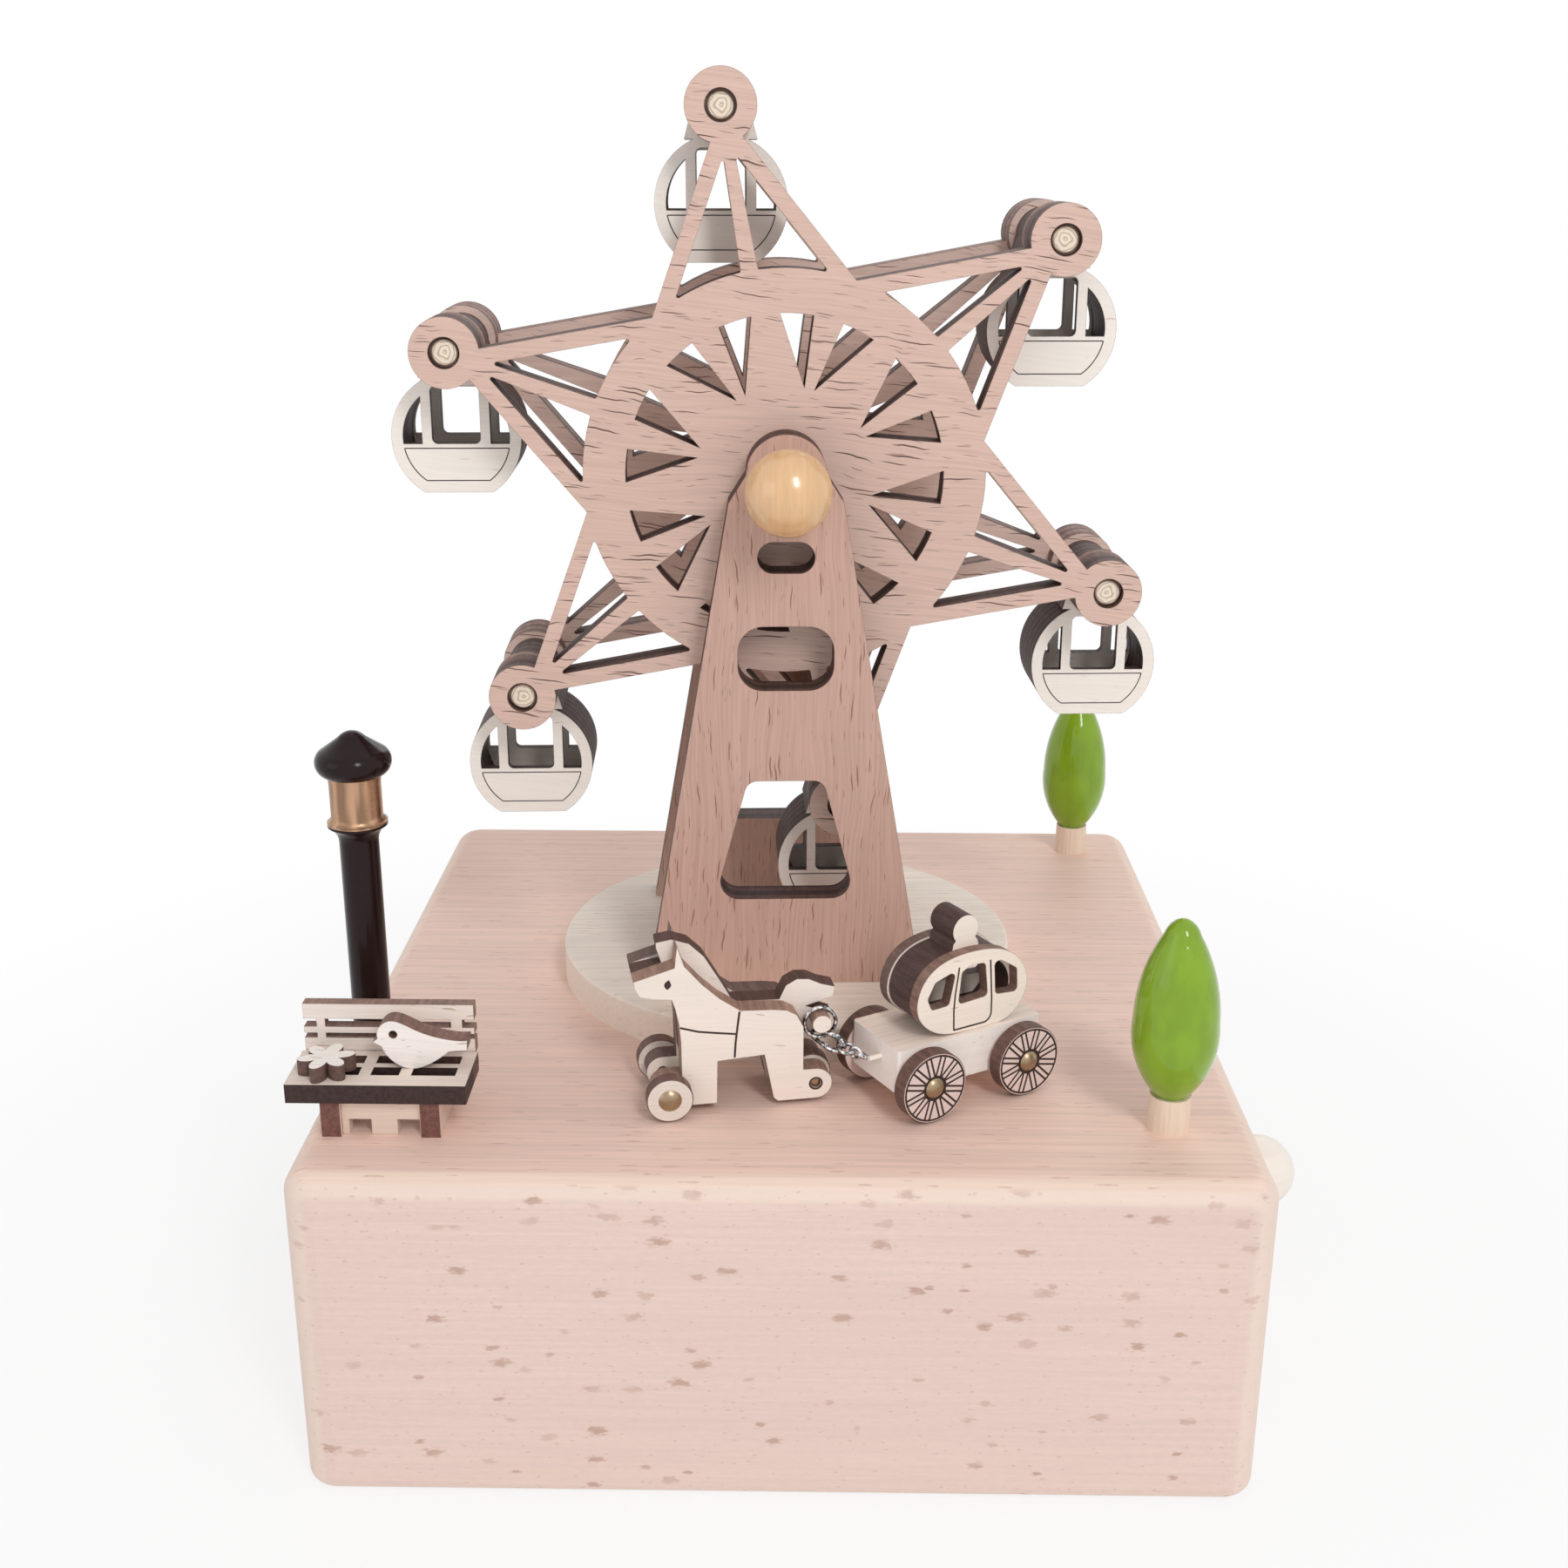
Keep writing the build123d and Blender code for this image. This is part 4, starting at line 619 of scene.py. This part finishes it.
screw_steel = metal("screw_steel", (196, 196, 200), 0.3, (0.3, 0.3, 0.3))
nickel = metal("magnet_nickel", (200, 198, 190), 0.22, (1, 1, 1))
pin_brass = metal("pin_brass", (176, 154, 126), 0.34, (0.2, 0.2, 2))
cast_zinc = metal("cast_zinc", (176, 178, 180), 0.45, (0.5, 0.5, 0.5), 0.03)
comb_steel = metal("comb_steel", (205, 205, 205), 0.28, (0.15, 4, 0.15))
# painted reflections: strong dark and bright patches of 0.45 mm on the ring's steel
ring_steel = metal("ring_steel", (236, 236, 238), 0.12, (0.6, 0.6, 0.6), 0.004, (0.45, 0.45, 0.45), 0.38)
# painted reflections: tall dark bands at 0.72 depth round the lantern's brass
lantern_brass = metal("lantern_brass", (206, 164, 132), 0.34, (3, 3, 0.06), 0.004, (1.6, 1.6, 14), 0.72)
gear_plastic = moulded("gear_plastic", (238, 236, 228), 0.4)
tyre_rubber = moulded("tyre_rubber", (38, 37, 37), 0.8)
score_line = moulded("score_line", (62, 42, 38), 0.8)
print("metals, plastic and rubber ready")

# %% [markdown]
# ## Dress the pieces of the frame
#
# Every piece that comes from the drawing as it is gets its wood or metal here.

# %% Give each drawn piece its material
dress = {
    wheel_wood: ("wheel_front_plate",),
    rear_ply_painted_light: ("wheel_rear_plate", "pin_spacers"),
    leg_wood: ("tower_front_leg", "tower_rear_leg"),
    gondola_wood: tuple(f"gondola_{k}" for k in range(1, 7)),
    horse_wood: ("horse_sides", "horse_middle_layer"),
    cabin_wood: ("carriage_cabin", "carriage_roof_ornament"),
    chassis_wood: ("carriage_chassis",),
    seat_wood: ("bench_seat",),
    back_wood: ("bench_backrest",),
    leg_ply: ("bench_legs",),
    bird_wood: ("bench_bird",),
    flower_wood: ("bench_flower",),
    base_wood: ("base_block",),
    plinth_wood: ("bottom_plate", "tower_plinth", "magnet_carrier"),
    dowel_wood: ("wheel_axle", "wheel_hub"),
    knob_wood: ("axle_end_cap",),
    screw_steel: ("bottom_screws", "carrier_pivot", "crank_arm", "crank_knob_pin", "crank_shaft",
                  "movement_screws"),
    nickel: ("carrier_magnet", "tow_magnet"),
    pin_brass: ("crank_bush", "music_cylinder"),
    gear_plastic: ("cylinder_gear", "drive_pinion", "friction_wheel"),
    tyre_rubber: ("friction_tyre",),
    cast_zinc: ("movement_bedplate",),
    comb_steel: ("movement_comb",),
}
for material, names in dress.items():
    for name in names:
        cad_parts[name].material_slots[0].material = material
print(sum(len(names) for names in dress.values()), "drawn pieces dressed")

# %% [markdown]
# ## A lathe for the round pieces
#
# The lathe turns a profile about its own upright axis. A profile is written as pairs of radius and height,
# from the axis round to the axis. A curved stretch of it is an arc through three points. Pieces made here
# stand for the drawing's plainer ones, so they ride on the same body.

# %% The lathe


def arc(start, middle, end, steps=10):
    """Points on the arc from start through middle to end, in a plane."""
    (ax, ay), (bx, by), (cx, cy) = start, middle, end
    d = 2 * (ax * (by - cy) + bx * (cy - ay) + cx * (ay - by))
    a, b, c = ax * ax + ay * ay, bx * bx + by * by, cx * cx + cy * cy
    ux = (a * (by - cy) + b * (cy - ay) + c * (ay - by)) / d
    uy = (a * (cx - bx) + b * (ax - cx) + c * (bx - ax)) / d
    first = math.atan2(ay - uy, ax - ux)
    via = (math.atan2(by - uy, bx - ux) - first) % math.tau
    last = (math.atan2(cy - uy, cx - ux) - first) % math.tau
    if via > last:
        last -= math.tau
    radius = math.hypot(ax - ux, ay - uy)
    angles = [first + last * k / steps for k in range(steps + 1)]
    return [(ux + radius * math.cos(t), uy + radius * math.sin(t)) for t in angles]


def turned(name, profile, segments=96, closed=False):
    """A mesh turned about z from (radius, height) in millimetres."""
    mesh = bpy.data.meshes.new(name)
    work = bmesh.new()
    rings = []
    for radius, height in profile:
        count = segments if radius > 1e-6 else 1
        angles = [math.tau * k / segments for k in range(count)]
        rings.append([work.verts.new((radius * MM * math.cos(t), radius * MM * math.sin(t), height * MM))
                      for t in angles])
    pairs = list(zip(rings, rings[1:]))
    if closed:
        pairs.append((rings[-1], rings[0]))
    for low, high in pairs:
        for k in range(segments):
            after = (k + 1) % segments
            corners = [low[k % len(low)], low[after % len(low)]]
            corners += [high[after % len(high)], high[k % len(high)]]
            corners = [v for n, v in enumerate(corners) if v not in corners[:n]]
            if len(corners) > 2:
                work.faces.new(corners)
    bmesh.ops.recalc_face_normals(work, faces=work.faces)
    work.to_mesh(mesh)
    work.free()
    mesh.shade_smooth()
    mesh.set_sharp_from_angle(angle=math.radians(35))
    return mesh


def piece(name, mesh, where, body, material, stands_for=()):
    """Put a made mesh or curve in its place, on its body, with its material and slot."""
    made = bpy.data.objects.new(name, mesh)
    made.matrix_world = where
    mesh.materials.append(material)
    bpy.context.scene.collection.objects.link(made)
    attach(made, body)
    if stands_for:
        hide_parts(*stands_for)
    return made


print("lathe ready:", len(arc((0, 0), (1, 1), (2, 0))), "points on a test arc")

# %% [markdown]
# ## Trees and the street lamp
#
# A tree is a drop-shaped canopy on a short trunk with a tenon into the block. The lamp is a post with a
# collar, a brass lantern and a pointed cap. All of them are plain lathe work.

# %% Trees
TREES = {"front": (44.4, -43.0), "rear": (45.0, 46.5)}
TRUNK_R, TRUNK_H = 2.45, 4.4
CANOPY_R, CANOPY_H = 4.85, 21.6
tenon = [(0, -3.4), (1.5, -3.4), (1.5, 0)]
trunk_profile = tenon + [(TRUNK_R, 0), (TRUNK_R - 0.12, TRUNK_H), (0, TRUNK_H)]
canopy_profile = [(0, 0)]
canopy_profile += arc((0.4 * CANOPY_R, 0), (0.89 * CANOPY_R, 0.19 * CANOPY_H),
                      (CANOPY_R, 0.43 * CANOPY_H), 16)
canopy_profile += arc((CANOPY_R, 0.43 * CANOPY_H), (0.82 * CANOPY_R, 0.7 * CANOPY_H),
                      (0.42 * CANOPY_R, 0.91 * CANOPY_H), 16)[1:]
canopy_profile += arc((0.42 * CANOPY_R, 0.91 * CANOPY_H), (0.23 * CANOPY_R, 0.975 * CANOPY_H),
                      (0, CANOPY_H), 8)[1:]
for name, (x, y) in TREES.items():
    piece(f"{name}_trunk", turned(f"{name}_trunk", trunk_profile), at(x, y, BLOCK_TOP), "root", trunk_wood,
          [f"{name}_tree_trunk"])
    piece(f"{name}_canopy", turned(f"{name}_canopy", canopy_profile), at(x, y, BLOCK_TOP + TRUNK_H), "root",
          green_lacquer, [f"{name}_tree_canopy"])
print("two trees,", TRUNK_H + CANOPY_H, "mm tall")

# %% Street lamp
LAMP = (-49.9, -29.0)
POST_H, LANTERN_H, CAP_H = 31.5, 5.8, 5.3
post_profile = tenon + [(2.3, 0), (2.3, POST_H - 2.2)]
post_profile += arc((2.3, POST_H - 2.2), (2.72, POST_H - 0.99), (3.5, POST_H - 0.3), 8)[1:]
post_profile += [(3.5, POST_H), (0, POST_H)]
lantern_profile = [(0, 0), (3.5, 0), (3.5, 0.2)]
lantern_profile += arc((3.5, 0.2), (3.12, 0.55), (3.0, 1.1), 6)[1:]
lantern_profile += [(3.0, LANTERN_H - 0.9), (3.1, LANTERN_H), (0, LANTERN_H)]
cap_profile = [(0, 0)] + arc((3.12, 0), (4.07, 0.62), (4.42, 1.7), 8)
cap_profile += arc((4.42, 1.7), (4.22, 2.5), (3.57, 3.15), 8)[1:]
cap_profile += arc((1.6, CAP_H - 0.75), (1.05, CAP_H - 0.28), (0.3, CAP_H), 8) + [(0, CAP_H)]
lamp_parts = [("lamp_post", post_profile, 0.0, black_lacquer, "black_lacquer"),
              ("lamp_lantern", lantern_profile, POST_H, lantern_brass, "lantern_brass"),
              ("lamp_cap", cap_profile, POST_H + LANTERN_H, black_lacquer, "black_lacquer")]
for name, profile, up, material, slot in lamp_parts:
    piece(f"street_{name}", turned(f"street_{name}", profile), at(*LAMP, BLOCK_TOP + up), "root", material,
          [name])
print("street lamp,", round(POST_H + LANTERN_H + CAP_H, 1), "mm tall")

# %% [markdown]
# ## Balls and pins
#
# The ball in front of the wheel and the ball of the crank are bored from one side. The gondolas hang on six
# dowels whose bare ends show growth rings.

# %% Balls


def bored_ball(radius, bore, depth):
    """A ball whose bore opens at the bottom and ends at height depth."""
    mouth = math.sqrt(radius ** 2 - bore ** 2)
    round_side = arc((bore, -mouth), (radius, 0), (0.0, radius), 40)
    return [(0, depth), (bore, depth)] + round_side[:-1] + [(0, radius)]


to_front = Matrix.Rotation(math.radians(90), 4, "X")
ball_place = tower_group @ at(0, -23.74, AXLE_HEIGHT) @ to_front
piece("ball_knob", turned("ball_knob", bored_ball(5.04, 2.52, 0.0)), ball_place, "wheel", knob_wood,
      ["axle_ball_knob"])
to_right = Matrix.Rotation(math.radians(90), 4, "Y")
crank_ball_place = at(63.5, -12.7244, 17.6379) @ to_right
piece("crank_ball", turned("crank_ball", bored_ball(4.8, 1.28, 2.6)), crank_ball_place, "knob",
      crank_ball_wood, ["crank_knob"])
print("two balls")

# %% Pins
ARM_ANGLES = [100 - 60 * k for k in range(6)]


def pin_at(degrees):
    """Where a gondola's pin stands on the wheel."""
    turn = math.radians(degrees)
    return WHEEL_RADIUS * math.cos(turn), AXLE_HEIGHT + WHEEL_RADIUS * math.sin(turn)


pin_profile = [(0, -11.3), (1.4, -11.3), (1.55, -11.15), (1.55, 11.15), (1.4, 11.3), (0, 11.3)]
for number, degrees in enumerate(ARM_ANGLES, 1):
    x, z = pin_at(degrees)
    where = tower_group @ at(x, 0, z) @ to_front @ Matrix.Rotation(number * 1.3, 4, "Z")
    piece(f"gondola_pin_{number}", turned(f"gondola_pin_{number}", pin_profile, 48), where, "wheel",
          dowel_wood, ["gondola_pins"])
print(len(ARM_ANGLES), "pins")

# %% [markdown]
# ## Scored lines
#
# The cutter also runs over the faces without going through, which leaves thin brown lines: the doors, the
# horse's strap and the spokes. They are narrow ribbons that lie a hair above the face, so their ends and
# bends are as crisp as the real ones. A leaf-shaped ribbon is the horse's eye.

# %% Ribbons


def ribbon(lines, width, lift=0.015, leaf=False):
    """A mesh of flat ribbons in the xz plane that look towards -y; lines are lists of (x, z).

    A leaf is pointed at both ends."""
    mesh = bpy.data.meshes.new("scoring")
    work = bmesh.new()
    for line in lines:
        points = [Vector(p) for p in line]
        rows = []
        for k, point in enumerate(points):
            ahead_of = points[min(k + 1, len(points) - 1)] - points[max(k - 1, 0)]
            half = width / 2 * (math.sin(math.pi * k / (len(points) - 1)) + 0.02 if leaf else 1)
            off = Vector((-ahead_of.y, ahead_of.x)).normalized() * half
            rows.append([work.verts.new(((point + s * off).x * MM, -lift * MM, (point + s * off).y * MM))
                         for s in (-1, 1)])
        for first, second in zip(rows, rows[1:]):
            work.faces.new((first[0], second[0], second[1], first[1]))
    bmesh.ops.recalc_face_normals(work, faces=work.faces)
    work.to_mesh(mesh)
    work.free()
    return mesh


def scored(name, lines, where, body, width=0.16, leaf=False):
    return piece(name, ribbon(lines, width, 0.015, leaf), where, body, score_line)


def both_sides(name, lines, group, faces, body, width, leaf=False):
    """The same scored lines on the near and the far face, whose places along y are given."""
    mirrored = [[(-x, z) for x, z in line] for line in lines]
    for side_name, y, shown, turn in (("near", faces[0], lines, Matrix.Identity(4)),
                                      ("far", faces[1], mirrored, half_turn)):
        scored(name.format(side_name), shown, group @ at(0, y, 0) @ turn, body, width, leaf)


def circle(x, z, radius, steps=40):
    return [(x + radius * math.cos(math.tau * k / steps), z + radius * math.sin(math.tau * k / steps))
            for k in range(steps + 1)]


half_turn = Matrix.Rotation(math.pi, 4, "Z")
print("ribbon of one line:", len(ribbon([[(0, 0), (1, 0)]], 0.2).polygons), "face")

# %% Lines on the gondolas


def gondola_lines():
    """The rail under the windows and the line that follows the body below it."""
    centre, radius = -10.8, 6.5
    top, bottom = -12.09, -16.03
    top_x = math.sqrt(radius ** 2 - (top - centre) ** 2)
    bottom_x = math.sqrt(radius ** 2 - (bottom - centre) ** 2)
    first = math.atan2(top - centre, top_x)
    last = math.atan2(bottom - centre, bottom_x)
    steps = [first + (last - first) * k / 14 for k in range(15)]
    right = [(radius * math.cos(t), centre + radius * math.sin(t)) for t in steps]
    return [[(-top_x, top), (top_x, top)], [(-bottom_x, bottom), (bottom_x, bottom)], right,
            [(-x, z) for x, z in right]]


for number, degrees in enumerate(ARM_ANGLES, 1):
    x, z = pin_at(degrees)
    for side_name, where in (("front", at(x, -5.0, z)), ("rear", at(x, 5.0, z) @ half_turn)):
        scored(f"gondola_{number}_{side_name}_lines", gondola_lines(), tower_group @ where,
               f"gondola_{number}_body", 0.13)
print("lines on", len(ARM_ANGLES), "gondolas")

# %% Lines on the horse
strap = [(3.2, 12.5), (2.95, 10.6), (2.72, 8.6), (2.6, 6.7)]
harness = [(-3.7, 11.0), (-1.6, 10.35), (0.6, 10.0), (2.75, 9.7)]
eye = [(-5.08, 15.9), (-5.07, 16.1), (-5.04, 16.35), (-5.0, 16.6), (-4.95, 16.85), (-4.88, 17.1)]
horse_faces = (0.0, HORSE_DEPTH)
horse_marks = (("lines", [strap, harness], 0.25, False), ("eye", [eye], 0.8, True),
               ("pin_hole", [circle(12.2, 2.5, 0.72)], 0.22, False))
for name, lines, width, leaf in horse_marks:
    both_sides("horse_{}_" + name, lines, horse_group, horse_faces, "horse", width, leaf)
print("strap, harness, eye and pin hole")

# %% Lines on the carriage
door_left = [(5.0, 17.3), (4.85, 16.0), (4.55, 14.0), (4.42, 12.0), (4.5, 9.45)]
door_bottom = [(4.5, 9.45), (8.8, 9.45)]
door_right = arc((8.8, 9.45), (9.5, 9.8), (9.8, 10.6), 8) + [(9.78, 12.4), (9.62, 14.6), (9.4, 17.3)]
both_sides("cabin_{}_lines", [door_left, door_bottom, door_right], carriage_group, (CABIN_NEAR, CABIN_FAR),
           "carriage", 0.22)
print("door lines on both sides")

# %% [markdown]
# ## The wheels of the horse and the carriage
#
# Each small wheel is a flat disc with a scorched rim. The carriage's wheels have twelve spokes, each drawn
# by two scored lines, and every axle is a brass pin with a domed head.

# %% Wheels on their pins


def disc_profile(radius, width, bore):
    soft = 0.12
    return [(bore, 0), (radius - soft, 0), (radius, soft), (radius, width - soft), (radius - soft, width),
            (bore, width)]


def dome_profile(radius, height, shank, length):
    """Half of a pin from its middle out to its domed head."""
    return [(0, -length), (shank, -length), (shank, 0), (radius, 0)] + \
        arc((radius, 0), (radius * 0.72, height * 0.62), (0, height), 10)[1:-1] + [(0, height)]


def spoke_lines():
    lines = []
    for k in range(12):
        t = math.tau * (k + 0.5) / 12
        out = Vector((math.cos(t), math.sin(t)))
        across = Vector((-math.sin(t), math.cos(t)))
        for s in (-0.32, 0.32):
            lines.append([tuple(out * r + across * s) for r in (1.5, 4.0)])
    return lines + [circle(0, 0, 1.45), circle(0, 0, 4.02), circle(0, 0, 1.3)]


def wheel_wood_of(name, face, rim):
    """A small wheel's wood: pale faces and a scorched rim, turned about z."""
    recipe = Recipe(name)
    grain = recipe.noise(recipe.place(size=(7, 0.35, 3)), 1.0, 3.0, 0.6)
    pale = recipe.mix(recipe.ease(grain, 0.3, 0.7), tone(*[v * 0.95 for v in face]), tone(*face))
    soot = recipe.noise(recipe.place(size=(0.6, 0.6, 4)), 1.0, 3.0, 0.6)
    burnt = recipe.mix(recipe.ease(soot, 0.3, 0.7), tone(*[v * 0.75 for v in rim]), tone(*rim))
    up = recipe.math("ABSOLUTE", recipe.split(recipe.node("TexCoord").outputs["Normal"])[2])
    recipe.bump(grain, 0.02, 0.5)
    wood = recipe.mix(recipe.math("GREATER_THAN", up, 0.9), burnt, pale)
    return recipe.finish(wood, 0.62, Specular_IOR_Level=0.3)


carriage_wheel_wood = wheel_wood_of("carriage_wheel_ply", (236, 213, 207), (122, 92, 82))
horse_wheel_wood = wheel_wood_of("horse_wheel_ply", (240, 228, 218), (130, 100, 90))
to_back = Matrix.Rotation(math.radians(-90), 4, "X")


def wheel_set(name, group, place, near, far, sizes, head, body, node, wood, spokes):
    """Two wheels on a domed pin; near and far are their outer faces along y."""
    radius, width, shank = sizes
    x, z = place
    disc = disc_profile(radius, width, shank + 0.02)
    reach = (far - near) / 2
    for side_name, y, turn in (("near", near, to_front), ("far", far, to_back)):
        where = group @ at(x, y, z) @ turn
        shape = [(r, h - width) for r, h in disc]
        piece(f"{name}_{side_name}_wheel", turned(f"{name}_{side_name}_wheel", shape, 72, True), where, body,
              wood, [node])
        pin = dome_profile(head[0], head[1], shank, reach)
        piece(f"{name}_{side_name}_pin", turned(f"{name}_{side_name}_pin", pin, 48), where, body, pin_brass,
              [node])
        if spokes:
            flat = group @ at(x, y, z) @ (half_turn if side_name == "far" else Matrix.Identity(4))
            scored(f"{name}_{side_name}_spokes", spoke_lines(), flat, body, 0.25)


AXLE_Z = 4.5
for name, x in (("front", 0.0), ("rear", 13.4)):
    wheel_set(f"carriage_{name}", carriage_group, (x, AXLE_Z), 0.0, 14.6, (4.35, 2.0, 0.7), (1.25, 0.55),
              f"carriage_{name}_wheel_set", f"carriage_{name}_wheels", carriage_wheel_wood, True)
wheel_set("horse_front", horse_group, (-5.2, 2.85), -2.0, 10.01, (2.7, 1.8, 0.6), (1.35, 0.5),
          "horse_front_wheel_set", "horse_front_wheels", horse_wheel_wood, False)
roller_place = horse_group @ at(12.2, 2.87, 2.5) @ to_back
piece("horse_roller_disc", turned("horse_roller_disc", disc_profile(2.35, 2.27, 0.52), 72, True),
      roller_place, "horse_roller", horse_wheel_wood, ["horse_rear_roller"])
roller_pin = [(0, -2.47), (0.42, -2.47), (0.5, -2.37), (0.5, 4.64), (0.42, 4.74), (0, 4.74)]
piece("horse_roller_pin", turned("horse_roller_pin", roller_pin, 48), roller_place, "horse_roller",
      pin_brass, ["horse_rear_roller"])
print("three wheel sets and a roller")

# %% [markdown]
# ## Ring and clasp
#
# The horse pulls the carriage by a split ring and a wire clasp. They are bent wire, so they are curves with
# a round section: a circle, a pear-shaped loop that passes round the ring's wire, a link and a pin's eye.

# %% Ring


def wire(name, points, radius, cyclic, where, body, stands_for, swell=None):
    """A bent wire along control points in millimetres; swell is its thickness at each point."""
    curve = bpy.data.curves.new(name, "CURVE")
    curve.dimensions = "3D"
    curve.bevel_depth = radius * MM
    curve.bevel_resolution = 5
    curve.resolution_u = 12
    curve.use_fill_caps = not cyclic
    spline = curve.splines.new("NURBS")
    spline.points.add(len(points) - 1)
    for k, (point, place) in enumerate(zip(spline.points, points)):
        point.co = (*(Vector(place) * MM), 1.0)
        point.radius = swell[k] if swell else 1.0
    spline.use_cyclic_u = cyclic
    spline.order_u = 3
    spline.use_endpoint_u = not cyclic
    return piece(name, curve, where, body, ring_steel, stands_for)


# NURBS of order 3 stays inside its control polygon, so the polygon is a little larger than the ring
grow = RING_RADIUS / math.cos(math.pi / 32)
ring_points = [(x, 0, z) for x, z in circle(0, 0, grow, 32)[:-1]]
wire("tow_split_ring", ring_points, 0.25, True, horse_group @ at(*RING_PLACE), "horse", ["tow_ring"])
print("ring of", 2 * RING_RADIUS, "mm")

# %% Clasp
hook = horse_group @ ((Vector(RING_PLACE) - Vector((0, 0, RING_RADIUS))) * MM)
eye_end = carriage_group @ (Vector((-5.0, 6.2, 6.8)) * MM)
along = (eye_end - hook).normalized()
ring_side = Vector((math.cos(math.radians(11)), math.sin(math.radians(11)), 0))
normal = (ring_side - along * ring_side.dot(along)).normalized()
across = normal.cross(along)
clasp_place = Matrix.Translation(hook) @ Matrix((along, across, normal)).transposed().to_4x4()
length = (eye_end - hook).length / MM
end, back = 0.72, -0.38
loop = arc((back, end), (back - end, 0), (back, -end), 10)
upper = [(back + (3.3 - back) * k / 6, z) for k, z in ((1, 0.84), (2, 1.02), (3, 1.15), (4, 1.1), (5, 0.9))]
loop_points = [(x, z, 0) for x, z in loop] + [(x, -z, 0) for x, z in upper]
loop_points += [(3.3, -0.5, 0), (3.3, 0.5, 0)] + [(x, z, 0) for x, z in reversed(upper)]
upper_swell = [1.1, 1.25, 1.35, 1.4, 1.4]
swell = [1.0] * len(loop) + upper_swell + [1.4, 1.4] + upper_swell[::-1]
wire("tow_clasp_loop", loop_points, 0.25, True, clasp_place, "carriage", ["tow_clasp"], swell)
link = [(3.75 + x, 0, 0.85 * z) for x, z in circle(0, 0, 1.0, 16)[:-1]]
wire("tow_clasp_link", link, 0.26, True, clasp_place, "carriage", ["tow_clasp"])
pin_eye = [(x, y, 0) for x, y in circle(4.95, 0, 0.72, 16)[:-1]]
wire("tow_clasp_pin_eye", pin_eye, 0.22, True, clasp_place, "carriage", ["tow_clasp"])
shank = [(0, 0), (0.42, 0), (0.36, 0.5), (0.3, 0.9), (0.3, length - 5.8), (0, length - 5.8)]
piece("tow_clasp_shank", turned("tow_clasp_shank", shank, 48), clasp_place @ at(5.5, 0, 0) @ to_right,
      "carriage", ring_steel, ["tow_clasp"])
print("clasp", round(length, 1), "mm long")
